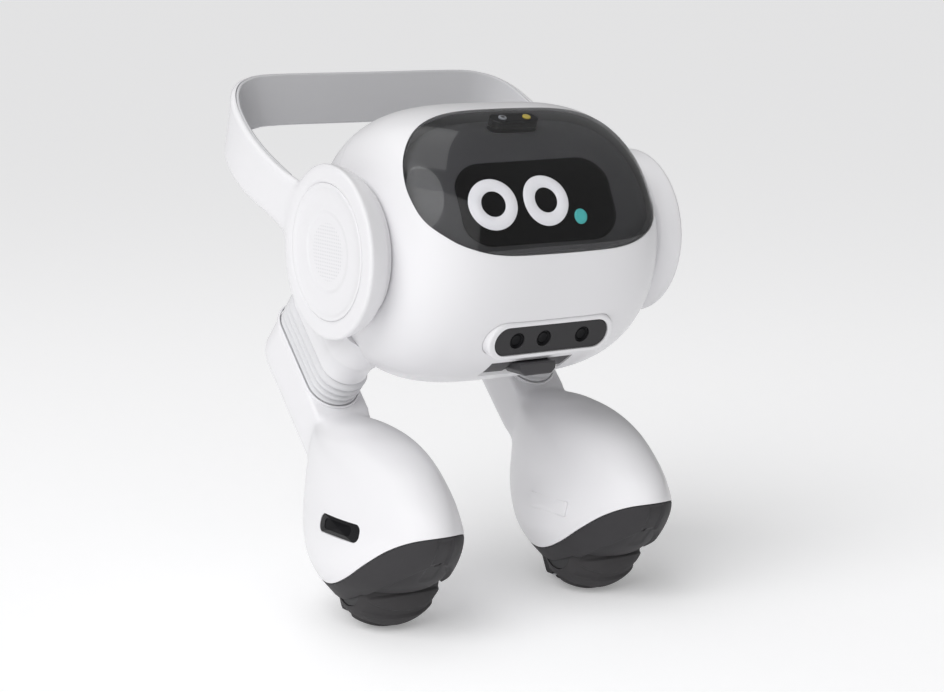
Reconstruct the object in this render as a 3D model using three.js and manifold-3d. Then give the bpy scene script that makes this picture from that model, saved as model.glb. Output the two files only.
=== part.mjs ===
// Two-legged wheeled companion robot. Millimetres, +Z up, the face looks to -Y,
// the robot's right side is -X. Profiles are given in units of 1/75 of the ear radius,
// measured from the ear axis, and scaled by K.
import * as THREE from 'three';
import Module from 'manifold-3d';

const EAR_RADIUS = 63.75;            // outer radius of the ear discs
const K = EAR_RADIUS / 75;           // millimetres per profile unit
const EAR_HEIGHT = 329.6 * K;        // ear axis above the floor
const Y_SHIFT = -45.7 * K;          // puts the origin under the middle of the bounding box
const GAP = 0.3;                     // clearance between neighbouring pieces
const WALL = 3;                      // moulded shell wall
const BODY = { A: 136.95, R: 121.6, P: 3.58, Y: 1.5, Z: -0.6, END: 133, HOLE: 55 };
const SEAM_Y = 36;                   // front shell to rear shell parting plane
const EAR = { IN: 133.6, RING: 141.6, OUT: 162.7, R: 75, RB: 69 };
const LEG_X = 108;                   // centre plane of each hip
const FOOT_X = 112;                  // centre plane of each foot
const HIP = { W: 23, S: 56, D0: 66, D1: 124, D2: 154.5 };
const SLAB = { W: 27.5, S0: -57, S1: 100, D0: 155, D1: 206 };
const WHEEL = { X: 111, Y: -15, R: 43, W: 40, A: 50 };   // barrel tyre: largest radius R, half width W, half length A of its oval section
const ROLLER = { Y: 21.5, R: 6.2, W: 12, LIFT: 0.35 };

const wasm = await Module();
wasm.setup();

// ---------- helpers ----------
function toManifold(geo) {
  const g = geo.index ? geo : geo.clone();
  const pos = g.attributes.position;
  const idx = g.index ? Array.from(g.index.array) : [...Array(pos.count).keys()];
  const map = new Map(), verts = [], remap = new Uint32Array(pos.count);
  for (let i = 0; i < pos.count; i++) {
    const k = [pos.getX(i), pos.getY(i), pos.getZ(i)].map((v) => Math.round(v * 1e5)).join();
    if (!map.has(k)) { map.set(k, verts.length / 3); verts.push(pos.getX(i), pos.getY(i), pos.getZ(i)); }
    remap[i] = map.get(k);
  }
  let tris = [], vol = 0;
  for (let i = 0; i < idx.length; i += 3) {
    const [a, b, c] = [remap[idx[i]], remap[idx[i + 1]], remap[idx[i + 2]]];
    if (a === b || b === c || a === c) continue;
    tris.push(a, b, c);
    const p = (n) => new THREE.Vector3(verts[3 * n], verts[3 * n + 1], verts[3 * n + 2]);
    vol += p(a).dot(p(b).cross(p(c)));
  }
  if (vol < 0) for (let i = 0; i < tris.length; i += 3) [tris[i], tris[i + 1]] = [tris[i + 1], tris[i]];
  return new wasm.Manifold(new wasm.Mesh({ numProp: 3, vertProperties: new Float32Array(verts), triVerts: new Uint32Array(tris) }));
}
function toGeometry(man) {
  const m = man.getMesh();
  const g = new THREE.BufferGeometry();
  g.setAttribute('position', new THREE.BufferAttribute(new Float32Array(m.vertProperties), 3));
  g.setIndex(new THREE.BufferAttribute(new Uint32Array(m.triVerts), 1));
  g.computeVertexNormals();
  return g;
}
// closed skin made of a stack of rings: fn(j, angle) gives the point on ring j; the first and last rings close to a point
function rings(n, m, fn) {
  const g = new THREE.SphereGeometry(1, n, m);
  g.deleteAttribute('normal'); g.deleteAttribute('uv');
  const pos = g.attributes.position;
  for (let j = 0; j <= m; j++) for (let i = 0; i <= n; i++) {
    const p = fn(j, ((i % n) / n) * 2 * Math.PI);
    pos.setXYZ(j * (n + 1) + i, p[0], p[1], p[2]);
  }
  return toManifold(g);
}
const box = (x0, x1, y0, y1, z0, z1) => {
  const g = new THREE.BoxGeometry(x1 - x0, y1 - y0, z1 - z0);
  g.translate((x0 + x1) / 2, (y0 + y1) / 2, (z0 + z1) / 2);
  return toManifold(g);
};
// solid or ring turned about the X axis: profile points are [x, radius]
function turnX(profile, segs, y = 0, z = 0, x = 0) {
  if (profile[0][1] > 0) profile = [...profile, profile[0]];
  const g = new THREE.LatheGeometry(profile.map(([a, r]) => new THREE.Vector2(r, a)), segs);
  g.rotateZ(-Math.PI / 2);
  g.translate(x, y, z);
  return toManifold(g);
}
const rodX = (x0, x1, y, z, r, segs = 20) => turnX([[x0, 0], [x0, r], [x1, r], [x1, 0]], segs, y, z);
const lerp = (a, b, t) => a + (b - a) * t;
function table(rows, x) {             // smooth interpolation in a table sorted by its first column
  const n = rows.length;
  let i = 0;
  while (i < n - 2 && x > rows[i + 1][0]) i++;
  const t = Math.min(1, Math.max(0, (x - rows[i][0]) / (rows[i + 1][0] - rows[i][0])));
  return rows[i].map((v, k) => {
    const h = rows[i + 1][0] - rows[i][0];
    const d = (a, b) => (rows[b][k] - rows[a][k]) / (rows[b][0] - rows[a][0]);
    const m0 = i > 0 ? d(i - 1, i + 1) : d(0, 1), m1 = i < n - 2 ? d(i, i + 2) : d(n - 2, n - 1);
    return (2 * t ** 3 - 3 * t * t + 1) * v + (t ** 3 - 2 * t * t + t) * h * m0 + (-2 * t ** 3 + 3 * t * t) * rows[i + 1][k] + (t ** 3 - t * t) * h * m1;
  });
}

// ---------- body ----------
const bodyR = (x) => K * BODY.R * Math.pow(Math.max(0, 1 - Math.pow(Math.abs(x) / BODY.A, BODY.P)), 1 / BODY.P);
const bodyXs = [0, 40, 75, 98, 114, 125, BODY.END];
function bodySolid(off, segs = 36) {   // solid of the drum grown by off millimetres
  const xs = [...bodyXs.slice(1).reverse().map((x) => -x), ...bodyXs];
  const pts = xs.map((x) => {
    const e = 0.5, s = (bodyR(x + e) - bodyR(x - e)) / (2 * e * K), l = Math.hypot(1, s);
    return [K * x - off * s / l, bodyR(x) + off / l];
  });
  const x0 = pts[0][0], x1 = pts[pts.length - 1][0];
  return turnX([[x0, 0], ...pts, [x1, 0]], segs, K * BODY.Y, K * BODY.Z);
}
const drum = bodySolid(0), drumGap = bodySolid(GAP), cavity = bodySolid(-WALL - 0.4, 16);
const endHoles = rodX(-K * 150, K * 150, K * BODY.Y, K * BODY.Z, K * BODY.HOLE, 20);
const P = (x, phi, off) => {            // point on the drum at X = x, phi degrees above the front, off millimetres outside
  const a = (phi * Math.PI) / 180, r = bodyR(x) + off;
  return [K * x, K * BODY.Y - r * Math.cos(a), K * BODY.Z + r * Math.sin(a)];
};
const visorHalf = [[1.4, 0], [1.6, 40], [2.1, 60], [3.8, 79], [7.4, 97], [11.5, 107], [16.5, 115], [23, 120], [33, 122.5], [43, 122.5], [52, 120], [59, 115.5], [65.5, 107], [70.5, 95], [73.8, 78], [75.6, 52], [76.2, 0]];
const visorMid = 36;
function visorEdge(a) {                // outline of the visor as a ring: angle a -> [x, phi]
  const n = visorHalf.length - 1, t = ((a / Math.PI) % 2 + 2) % 2, s = t <= 1 ? t : 2 - t;
  const q = s * n, i = Math.min(n - 1, Math.floor(q)), f = q - i;
  const x = lerp(visorHalf[i][1], visorHalf[i + 1][1], f), phi = lerp(visorHalf[i][0], visorHalf[i + 1][0], f);
  return [t <= 1 ? x : -x, phi];
}
function visorPatch(o1, o0, grow, n = 48, k = 4) { // patch between offsets o0 and o1, outline grown by grow millimetres
  const edge = (a, r) => {
    const [x, phi] = visorEdge(a), cx = x * r, cp = visorMid + (phi - visorMid) * r;
    const l = Math.hypot(x, (phi - visorMid) * 2.1) || 1;
    return [cx + (r * grow / K) * (x / l), cp + (r * grow / K) * ((phi - visorMid) * 2.1 / l) / 2.1];
  };
  return rings(n, 2 * k + 1, (j, a) => {
    const top = j <= k, r = top ? j / k : (2 * k + 1 - j) / k;
    const [x, phi] = edge(a, r);
    return P(x, phi, top ? o1 : o0);
  });
}

// chin boss with the depth camera strip
function pill(w, h, d, y0, tilt, z, x = 0, bevel = 0, seg = 6) { // pill lying across X, front face at y0 - d
  const s = new THREE.Shape();
  s.absarc(w - h, 0, h, -Math.PI / 2, Math.PI / 2, false);
  s.absarc(-(w - h), 0, h, Math.PI / 2, (3 * Math.PI) / 2, false);
  const g = new THREE.ExtrudeGeometry(s, { depth: d - 2 * bevel, bevelEnabled: bevel > 0, bevelThickness: bevel, bevelSize: bevel, bevelOffset: -bevel, bevelSegments: 1, curveSegments: seg });
  g.translate(0, 0, bevel);
  g.rotateX(Math.PI / 2 - tilt);
  g.translate(x, y0, z);
  return toManifold(g);
}
const CHIN = { X: 0, Y: -102.5, Z: -72.5, W: 65, H: 17.5, D: 36, TILT: -0.3 };  // Y and Z of the middle of its front face
const chinPill = (w, h, d0, d1, bevel = 0, seg = 6) => // pill on the chin axis, w by h half sizes in mm, from depth d0 to d1 units behind the front face
  pill(w, h, K * (d1 - d0), K * (CHIN.Y + d1 * Math.cos(CHIN.TILT)), CHIN.TILT, K * (CHIN.Z - d1 * Math.sin(CHIN.TILT)), K * CHIN.X, bevel, seg);

// ---------- hip and leg directions: D runs rear-down from the ear axis, S runs forward-down ----------
const WIN = { Y: -19.5, Z: -235, L: 29.5, H: 7.5 };  // side window: centre, half length, half height
const TILE = { Y: -16, Z: -243.5, L: 29, H: 7.5 };    // inner cover
const N = Math.SQRT1_2;
const DS = (x, d, s) => [K * x, K * N * (d - s), -K * N * (d + s)];
function stadium(w, s0, s1, a, n) { // ring point of an n-sided racetrack: half width w, round ends at s0 and s1
  const c = Math.cos(a) / Math.cos(Math.PI / n), s = Math.sin(a);
  return s >= 0 ? [w * c, s1 - w + w * s] : [w * c, s0 + w + w * s];
}
function prism(side, levels, n = 16) {  // levels: [D, halfWidth, s0, s1]; racetrack sections stacked along D
  const L = [levels[0], ...levels, levels[levels.length - 1]];
  return rings(n, L.length - 1, (j, a) => {
    const [d, w, s0, s1] = L[j];
    if (j === 0 || j === L.length - 1) return DS(side * LEG_X, d, (s0 + s1) / 2);
    const [x, s] = stadium(w, s0, s1, a + Math.PI / n, n);
    return DS(side * LEG_X + x, d, s);
  });
}

// foot: sections [z, centre y, half length, half width]
const foot = [[-306, -4, 33, 36.5], [-300, -5, 42, 42], [-285, -6.5, 67, 53], [-270, -6, 83, 57.5], [-252, -7, 97, 56], [-236, -7.5, 104.5, 52], [-222, -5.5, 103.5, 48.5], [-208, -1.7, 99, 46.3], [-195, 3.2, 90.5, 44.5], [-183, 9.4, 80.5, 42.5], [-173, 18, 68, 39.5], [-165, 29, 54, 34.5], [-159, 41, 34, 25]];
function footSolid(side, off, n = 24, zs = foot.map((r) => r[0])) { // foot skin moved inwards by off millimetres
  const L = [zs[0], ...zs, zs[zs.length - 1]];
  const o = off / K;
  return rings(n, L.length - 1, (j, a) => {
    const end = j === 0 || j === L.length - 1;
    let [z, yc, b, w] = table(foot, L[j]);
    if (o > 0) z = lerp(z, -240, o / 75);
    if (end) return [side * K * FOOT_X, K * yc, K * (z + (j === 0 ? 0 : off ? 0 : 2.5))];
    return [K * (side * FOOT_X + (w - o) * Math.cos(a)), K * (yc + (b - o) * Math.sin(a)), K * z];
  });
}
const seam = [[-150, -224], [-135, -226], [-120, -228], [-100, -233], [-80, -243], [-60, -257], [-35, -275], [-10, -286], [15, -288], [40, -284], [65, -276], [90, -266], [125, -254], [150, -250]];
function belowSeam(dz) {                // everything under the wavy seam line
  const s = new THREE.Shape();
  const y0 = -150, y1 = 150, n = 16;
  for (let i = 0; i <= n; i++) {
    const y = lerp(y0, y1, i / n), z = table(seam, y)[1];
    i ? s.lineTo(K * y, K * z + dz) : s.moveTo(K * y, K * z + dz);
  }
  s.lineTo(K * y1, -K * 400); s.lineTo(K * y0, -K * 400);
  const g = new THREE.ExtrudeGeometry(s, { depth: K * 400, bevelEnabled: false });
  g.rotateX(Math.PI / 2); g.rotateZ(Math.PI / 2);
  g.translate(-K * 200, 0, 0);
  return toManifold(g);
}

// ---------- handle: flat band from ear to ear; stations [t, x, y, z, half breadth, lean of the breadth direction in degrees from upright] ----------
const band = [[0, 151.5, 26, 6, 24, -33], [1, 156, 60, 28, 24, -33], [2, 160.5, 95, 44.5, 24.5, -33], [3, 163, 125, 59, 25, -32], [4, 162.5, 152, 74.5, 25, -27], [5, 157, 177, 91, 24.5, -19], [6, 144, 195, 105, 24, -10], [7, 125, 204.5, 112.5, 24, -4], [8, 95, 207, 115, 24, 0], [9, 0, 207, 115, 24, 0]];
function bandSection(t) {
  const side = t < 9 ? -1 : 1, q = t < 9 ? t : 18 - t;
  const f = (u) => table(band, Math.min(9, Math.max(0, u)));
  const [, x, y, z, hb, lean] = f(q);
  const a = f(q - 0.02), b = f(q + 0.02);
  const T = new THREE.Vector3(side * (b[1] - a[1]), b[2] - a[2], b[3] - a[3]).normalize().multiplyScalar(t < 9 ? 1 : -1);
  const l = (lean * Math.PI) / 180;
  const B = new THREE.Vector3(0, Math.sin(l), Math.cos(l));
  B.addScaledVector(T, -B.dot(T)).normalize();
  const Nn = new THREE.Vector3().crossVectors(T, B).normalize();   // inward normal of the band
  return { c: new THREE.Vector3(side * x, y, z), B, N: Nn, hb };
}
function bandSolid(ts, n0, n1, edge, c) { // between normal offsets n0 (outer) and n1 (inner), edges pulled in, corner radius c
  const L = [ts[0], ...ts, ts[ts.length - 1]];
  return rings(12, L.length - 1, (j, a) => {
    const s = bandSection(L[j]), hn = (n1 - n0) / 2, hb = s.hb - edge;
    const end = j === 0 || j === L.length - 1, i = Math.round((a / (2 * Math.PI)) * 12);
    const q = Math.floor(i / 3), f = ((q * 90 + (i % 3) * 45) * Math.PI) / 180;
    const b = (q === 0 || q === 3 ? 1 : -1) * (hb - c) + c * Math.cos(f), m = (q < 2 ? 1 : -1) * (hn - c) + c * Math.sin(f);
    const p = s.c.clone().addScaledVector(s.B, end ? 0 : b).addScaledVector(s.N, (n0 + n1) / 2 + (end ? 0 : m)).multiplyScalar(K);
    return [p.x, p.y, p.z];
  });
}

// ---------- assembly ----------
const group = new THREE.Group();
group.name = 'companion_robot';
const rig = new THREE.Group();
rig.position.set(0, Y_SHIFT, EAR_HEIGHT);
group.add(rig);
const mats = {
  white: { color: 0xeeedf0, roughness: 0.32, metalness: 0 },
  grey: { color: 0xc9c8cb, roughness: 0.45, metalness: 0 },
  visor: { color: 0x2c2b2e, roughness: 0.08, metalness: 0 },
  screen: { color: 0x060607, roughness: 0.15, metalness: 0 },
  dark: { color: 0x474549, roughness: 0.6, metalness: 0 },
  chin: { color: 0x59575b, roughness: 0.5, metalness: 0 },
  black: { color: 0x0b0b0c, roughness: 0.12, metalness: 0 },
  amber: { color: 0xd8b74a, roughness: 0.15, metalness: 0 },
  lens: { color: 0xb9bcc4, roughness: 0.1, metalness: 0 },
  rubber: { color: 0x48464a, roughness: 0.85, metalness: 0 },
  boot: { color: 0xd9d8db, roughness: 0.6, metalness: 0 },
  metal: { color: 0x9a9ca0, roughness: 0.35, metalness: 1 },
  frame: { color: 0x2a2a2c, roughness: 0.6, metalness: 0 },
  board: { color: 0x1f5a3a, roughness: 0.5, metalness: 0 },
  battery: { color: 0x34507a, roughness: 0.5, metalness: 0 },
};
function add(name, man, mat, parent = rig) {
  const mesh = new THREE.Mesh(toGeometry(man), new THREE.MeshStandardMaterial(mats[mat]));
  mesh.name = name;
  parent.add(mesh);
  return mesh;
}

// shells
const visorCut = visorPatch(8, -WALL - 4, GAP, 28, 2);
let shell = drum.subtract(cavity).subtract(endHoles);
for (const s of [-1, 1]) shell = shell.subtract(prism(s, [[40, 13, -26, 26], [150, 13, -26, 26]], 20));
const front = shell.intersect(box(-400, 400, -400, K * SEAM_Y - GAP / 2, -400, 400)).subtract(visorCut).subtract(chinPill(K * CHIN.W + GAP, K * CHIN.H + GAP, -30, CHIN.D + 1)).subtract(box(-K * 42 - GAP, K * 42 + GAP, -K * 92, -K * 50, -K * 111 - GAP, -K * 95.5 + GAP));
const rear = shell.intersect(box(-400, 400, K * SEAM_Y + GAP / 2, 400, -400, 400));
add('body_front_shell', front, 'white');
add('body_rear_shell', rear, 'white');

// face
add('face_visor', visorPatch(0.4, -2.2, 0, 28, 2).subtract(pill(K * 24 + GAP, K * 7.2 + GAP, K * 40, K * -37, 1.166, K * 89, -K * 3, 0)), 'visor');

// screen panel: curved rectangle behind the visor
function screenPatch(x1, p0, p1, o1, o0, n = 20, k = 2, xc = 0) {
  return rings(n, 2 * k + 1, (j, a) => {
    const top = j <= k, r = top ? j / k : (2 * k + 1 - j) / k;
    const c = Math.cos(a), s = Math.sin(a), e = 0.45;
    const x = xc + x1 * r * Math.sign(c) * Math.pow(Math.abs(c), e), ph = (p0 + p1) / 2 + ((p1 - p0) / 2) * r * Math.sign(s) * Math.pow(Math.abs(s), e);
    return P(x, ph, top ? o1 : o0);
  });
}
add('face_display', screenPatch(73, 5.6, 44.2, -7.9, -9.9, 24, 3, -9), 'screen');
add('display_bracket', screenPatch(88, 4.5, 42.5, -12.4, -14.4).subtract(screenPatch(52, 12, 34, -9, -18, 12, 1)), 'frame');

// top sensor pod: a small pill let into the top of the visor, with a camera lens and a light sensor
const POD = { tilt: 1.166, x: -3 };
const podPill = (w, h, d, up, dx, g = 0) => pill(K * w + g, K * h + g, K * d, K * -43.6, POD.tilt, K * 104.6, K * (POD.x + dx), 0);
const podLens = (dx, g, d) => { const c = new THREE.CylinderGeometry(K * 5 + g, K * 5 + g, K * d, 16); c.rotateX(-POD.tilt); c.translate(K * (POD.x + dx), K * -45.0, K * 108); return toManifold(c); };
add('top_sensor_bezel', podPill(24, 7.2, 7, 0, 0).subtract(podLens(-12, GAP, 30)).subtract(podLens(13, GAP, 30)), 'black');
add('top_camera_lens', podLens(-12, 0, 9), 'lens');
add('top_light_sensor', podLens(13, 0, 9), 'amber');

// chin: white boss, depth camera bar with three windows, dock recess with its block
const stripCut = chinPill(K * 58.5 + GAP, K * 13 + GAP, -30, CHIN.D + 8);
add('chin_housing', chinPill(K * CHIN.W, K * CHIN.H, 0, CHIN.D, 1.5).subtract(stripCut), 'white');
const eye = (x, r, d, g) => { const c = new THREE.CylinderGeometry(K * r + g, K * r + g, d, 16); c.rotateX(-CHIN.TILT); c.translate(K * x, K * (CHIN.Y + 5), K * (CHIN.Z + 5 * 0.3)); return toManifold(c); };
const eyes = [['depth_lens_right', -35.5], ['depth_lens_middle', -8], ['depth_lens_left', 32]];
let bar = chinPill(K * 58.5, K * 13, 1, 10, 0.8, 6);
for (const [, x] of eyes) bar = bar.subtract(eye(x, 7, 30, GAP));
add('depth_camera_bar', bar, 'chin');
for (const [n, x] of eyes) add(n, eye(x, 7, 4.5, 0), 'black');
const blockShape = new THREE.Shape();
[[-18.5, -96.5], [18.5, -96.5], [18.5, -103], [14, -107.5], [-14, -107.5], [-18.5, -103]].forEach(([x, z], i) => (i ? blockShape.lineTo(K * x, K * z) : blockShape.moveTo(K * x, K * z)));
const block = new THREE.ExtrudeGeometry(blockShape, { depth: K * 26 - 1, bevelEnabled: true, bevelThickness: 1, bevelSize: 1, bevelOffset: -1, bevelSegments: 1 });
block.rotateX(Math.PI / 2); block.translate(0, -K * 57, 0);
add('chin_recess_plate', box(-K * 42, K * 42, -K * 92, -K * 55, -K * 111, -K * 95.5).intersect(bodySolid(-1.2)).subtract(box(-K * 18.5 - GAP, K * 18.5 + GAP, -200, 0, -200, -K * 96.5 + GAP)), 'chin');
add('chin_block', toManifold(block), 'chin');

// inside the body
add('chassis_frame', box(-K * 92, K * 92, -K * 20, K * 20, -K * 64, -K * 58).add(box(-K * 30, K * 30, K * 14, K * 20, -K * 60, K * 50)), 'frame');
add('battery_pack', box(-K * 44, K * 44, -K * 44, K * 34, -K * 84, -K * 65), 'battery');
add('main_board', box(-K * 45, K * 45, K * 22, K * 24, -K * 30, K * 50), 'board');

// handle: white outer band with a grey inner cover, its roots let into the ear housings
const ts = [0.85, 1.6, 2.4, 3.2, 4, 4.6, 5.3, 6, 6.9, 8];
const allTs = [...ts, 9, ...ts.slice().reverse().map((t) => 18 - t)];
const outerTs = allTs, innerTs = allTs.filter((t) => t >= 2 && t <= 16);
const handleFull = bandSolid(outerTs, -4.5, 4.5, 0, 4);
const innerPocket = bandSolid(innerTs, 1.6 - GAP / K, 9, 2.2 - GAP / K, 0.5);
const innerCover = bandSolid(innerTs, 1.6, 4.6, 2.2, 0.9);
const handleCut = bandSolid([0.78, ...outerTs.slice(1, -1), 17.22], -4.5 - GAP / K, 4.5 + GAP / K, -GAP / K, 4);
add('handle_shell', handleFull.subtract(innerPocket), 'white');
add('handle_inner_cover', innerCover, 'grey');

for (const side of [-1, 1]) {
  const tag = side < 0 ? 'right' : 'left';
  const mir = (pts) => pts.map(([x, r]) => [side * K * x, K * r]);
  // ear: ring housing, perforated cover, speaker
  const housing = turnX(mir([[EAR.IN, 50], [EAR.IN, 61], [138.6, 61], [EAR.RING, 68], [150, 72.6], [160.6, 75], [162.2, 74], [EAR.OUT, 71.5], [EAR.OUT, 59], [158.5, 58], [158.5, 50]]), 30);
  add(`ear_housing_${tag}`, housing.subtract(handleCut), 'white');
  add(`ear_cover_${tag}`, turnX(mir([[156, 0], [156, 44], [159, 49], [159, 57.5], [EAR.OUT - 0.1, 57.5], [EAR.OUT - 0.6, 54], [160.6, 50], [160.6, 0]]), 28), 'white');
  add(`speaker_driver_${tag}`, turnX(mir([[140, 0], [140, 22], [150, 26], [154, 42], [155, 42], [155, 34], [151, 14], [151, 0]]), 16), 'frame');
  // hip: housing on the body, bracket, motor and ribbed boot
  const tube = prism(side, [[HIP.D0, HIP.W, -HIP.S, HIP.S], [HIP.D1, HIP.W, -HIP.S, HIP.S]]).subtract(prism(side, [[HIP.D0 - 30, HIP.W - 4, -HIP.S + 4, HIP.S - 4], [HIP.D1 + 5, HIP.W - 4, -HIP.S + 4, HIP.S - 4]], 20));
  add(`hip_housing_${tag}`, tube.subtract(drumGap), 'white');
  add(`hip_bracket_${tag}`, prism(side, [[70, 10, -22, 22], [124.6, 10, -22, 22]], 12), 'metal');
  add(`hip_motor_${tag}`, rodX(side * K * (LEG_X - 12), side * K * (LEG_X + 12), K * N * 140, -K * N * 140, K * 15).subtract(rodX(side * K * 80, side * K * 130, K * N * 140, -K * N * 140, K * 4 + GAP, 12)), 'metal');
  const rib = [[124.35, 19.5], [126, 22.4], [128.5, 24.6], [131, 24.6], [132.6, 21.6], [134.2, 21.6], [136, 24.4], [138.6, 24.4], [140.2, 21.4], [141.8, 21.4], [143.6, 24.2], [146.2, 24.2], [147.8, 21.2], [149.4, 21.2], [151, 24], [153.2, 24], [154.2, 21]];
  const off = (w) => w - 23;
  const bootOut = prism(side, rib.map(([d, w]) => [d, w, -HIP.S - off(w), HIP.S + off(w)]), 12);
  add(`hip_boot_${tag}`, bootOut.subtract(prism(side, [[110, 17.5, -50.5, 50.5], [170, 17.5, -50.5, 50.5]], 8)), 'boot');

  // leg: hollow shell with the foot, fork and shaft inside the slab, dark sole below the wavy seam
  const sl = (d, g) => [d, SLAB.W - g, SLAB.S0 + g, SLAB.S1 - g];
  const slab = prism(side, [sl(155, 2), sl(157, 0.3), sl(161, 0), sl(196, 0), sl(201, 1.8), sl(204.5, 5.5), sl(206, 10)], 20);
  const w = WALL / K;
  const slabIn = prism(side, [sl(150, w + 5), sl(159, w + 5), sl(159.5, w), sl(202 - w, w + 1)], 12);
  const footOut = footSolid(side, 0), footIn = footSolid(side, WALL + 0.6, 12, [-304, -283, -252, -222, -195, -178, -166]);
  const low = belowSeam(0.15), lowCut = belowSeam(-0.15);
  const wr = (x) => WHEEL.R * Math.sqrt(1 - (x / WHEEL.A) ** 2);
  const room = [-42, -34, -23, -12, 0, 12, 23, 34, 42].map((x) => [K * side * (WHEEL.X + x), K * wr(x) + 2.5]);
  const wheelRoom = turnX([[room[0][0], 0], ...room, [room[8][0], 0]], 24, K * WHEEL.Y, -K * (329.6 - WHEEL.R));
  const axleHole = rodX(K * (side * WHEEL.X - 44) , K * (side * WHEEL.X + 44), K * WHEEL.Y, -K * (329.6 - WHEEL.R), K * 6.6 + GAP, 16);
  const hollow = slabIn.add(footIn);
  const win = (g, d0, d1) => { // pill window on the outer flank of the foot
    const s = new THREE.Shape(); const W = K * WIN.L + g, H = K * WIN.H + g;
    s.absarc(W - H, 0, H, -Math.PI / 2, Math.PI / 2, false); s.absarc(H - W, 0, H, Math.PI / 2, 1.5 * Math.PI, false);
    const e = new THREE.ExtrudeGeometry(s, { depth: d1 - d0, bevelEnabled: false, curveSegments: 8 });
    e.translate(0, 0, d0); e.rotateX(Math.PI / 2); e.rotateZ(side * Math.PI / 2);
    e.translate(side * K * FOOT_X, K * WIN.Y, K * WIN.Z);
    return toManifold(e);
  };
  const winCut = win(GAP, K * 40, K * 70), foot0 = footSolid(side, 0);
  const legShell = slab.add(footOut.subtract(low)).subtract(hollow).subtract(belowSeam(0.15)).subtract(winCut).subtract(wheelRoom).subtract(axleHole);
  add(`leg_shell_${tag}`, legShell, 'white');
  const rX = (w, r) => rodX(side * K * WHEEL.X - K * w, side * K * WHEEL.X + K * w, K * ROLLER.Y, -K * (329.6 - ROLLER.R) + ROLLER.LIFT, K * r, 20);
  const rollerRoom = rX(ROLLER.W + 1.2, ROLLER.R + 1.2).add(rX(ROLLER.W + 5.4, 2.2 + GAP / K));
  const seatShape = new THREE.Shape();  // wedge behind the wheel that carries the roller pin
  [[16.5, -322], [25, -322], [35, -302], [16.5, -302]].forEach(([y, z], i) => (i ? seatShape.lineTo(K * y, K * z) : seatShape.moveTo(K * y, K * z)));
  const seatGeo = new THREE.ExtrudeGeometry(seatShape, { depth: K * 44, bevelEnabled: false });
  seatGeo.rotateX(Math.PI / 2); seatGeo.rotateZ(Math.PI / 2); seatGeo.translate(K * (side * WHEEL.X - 22), 0, 0);
  const rollerSeat = toManifold(seatGeo);
  add(`leg_sole_${tag}`, footOut.subtract(footSolid(side, WALL + 0.6, 12, [-306, -283, -257, -226])).intersect(lowCut).add(rollerSeat).subtract(wheelRoom).subtract(winCut).subtract(rollerRoom).subtract(axleHole), 'dark');
  add(`side_sensor_window_${tag}`, foot0.intersect(win(0, K * 40, K * 70)).subtract(footSolid(side, 2.4)), 'black');
  // raised cover on the inner flank of the foot
  const tile = (g, d0, d1) => {
    const e = new THREE.BoxGeometry(d1 - d0, K * 2 * TILE.L + 2 * g, K * 2 * TILE.H + 2 * g);
    e.translate(-side * (d0 + d1) / 2, 0, 0); e.translate(side * K * FOOT_X, K * TILE.Y, K * TILE.Z);
    return toManifold(e);
  };
  add(`inner_cover_${tag}`, footSolid(side, -0.9).intersect(tile(0, K * 30, K * 70)).subtract(footSolid(side, -0.3)), 'white');
  // fork from the leg to the hip, shaft through the motor
  const boxDS = (x0, x1, d0, d1, s0, s1) => {
    const g2 = new THREE.BoxGeometry(x1 - x0, d1 - d0, s1 - s0), p2 = g2.attributes.position;
    for (let i = 0; i < p2.count; i++) p2.setXYZ(i, ...DS(side * LEG_X + (x0 + x1) / 2 + p2.getX(i), (d0 + d1) / 2 + p2.getY(i), (s0 + s1) / 2 + p2.getZ(i)));
    return toManifold(g2);
  };
  const py = K * N * 140, xc = side * K * LEG_X;
  add(`hip_shaft_${tag}`, rodX(xc - K * 16.3, xc + K * 16.3, py, -py, K * 4, 12), 'metal');
  add(`hip_fork_${tag}`, boxDS(-16, -13, 128, 176, -8, 8).add(boxDS(13, 16, 128, 176, -8, 8)).add(boxDS(-16, 16, 170, 176, -8, 8)).subtract(rodX(xc - K * 40, xc + K * 40, py, -py, K * 4 + GAP, 12)), 'metal');
  // barrel wheel in the sole: tyre on a hub that turns on a fixed axle, with a small roller behind it
  const wz = -K * (329.6 - WHEEL.R), wy = K * WHEEL.Y;
  const at = (pts) => pts.map(([x, r]) => [K * (side * WHEEL.X + side * x), K * r]);
  add(`wheel_tyre_${tag}`, turnX(at([...[-WHEEL.W, -34, -23, -12, 0, 12, 23, 34, WHEEL.W].map((x) => [x, wr(x)]), [WHEEL.W, 20], [-WHEEL.W, 20]]), 28, wy, wz), 'rubber');
  add(`wheel_hub_${tag}`, turnX(at([[-39, 7], [-39, 19.6], [39, 19.6], [39, 7]]), 20, wy, wz), 'frame');
  add(`wheel_axle_${tag}`, turnX(at([[-43, 0], [-43, 6.6], [43, 6.6], [43, 0]]), 12, wy, wz), 'metal');
  const rz = -K * (329.6 - ROLLER.R) + ROLLER.LIFT, ry = K * ROLLER.Y;
  add(`heel_roller_${tag}`, turnX(at([[-ROLLER.W, 2.6], [-ROLLER.W, ROLLER.R - 1], [-ROLLER.W + 1.5, ROLLER.R], [ROLLER.W - 1.5, ROLLER.R], [ROLLER.W, ROLLER.R - 1], [ROLLER.W, 2.6]]), 16, ry, rz), 'rubber');
  add(`roller_pin_${tag}`, turnX(at([[-ROLLER.W - 5, 0], [-ROLLER.W - 5, 2.2], [ROLLER.W + 5, 2.2], [ROLLER.W + 5, 0]]), 12, ry, rz), 'metal');
}

export default group;
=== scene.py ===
import bpy, bmesh, math
import numpy as np
from mathutils import Matrix, Vector
from mathutils.bvhtree import BVHTree


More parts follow.
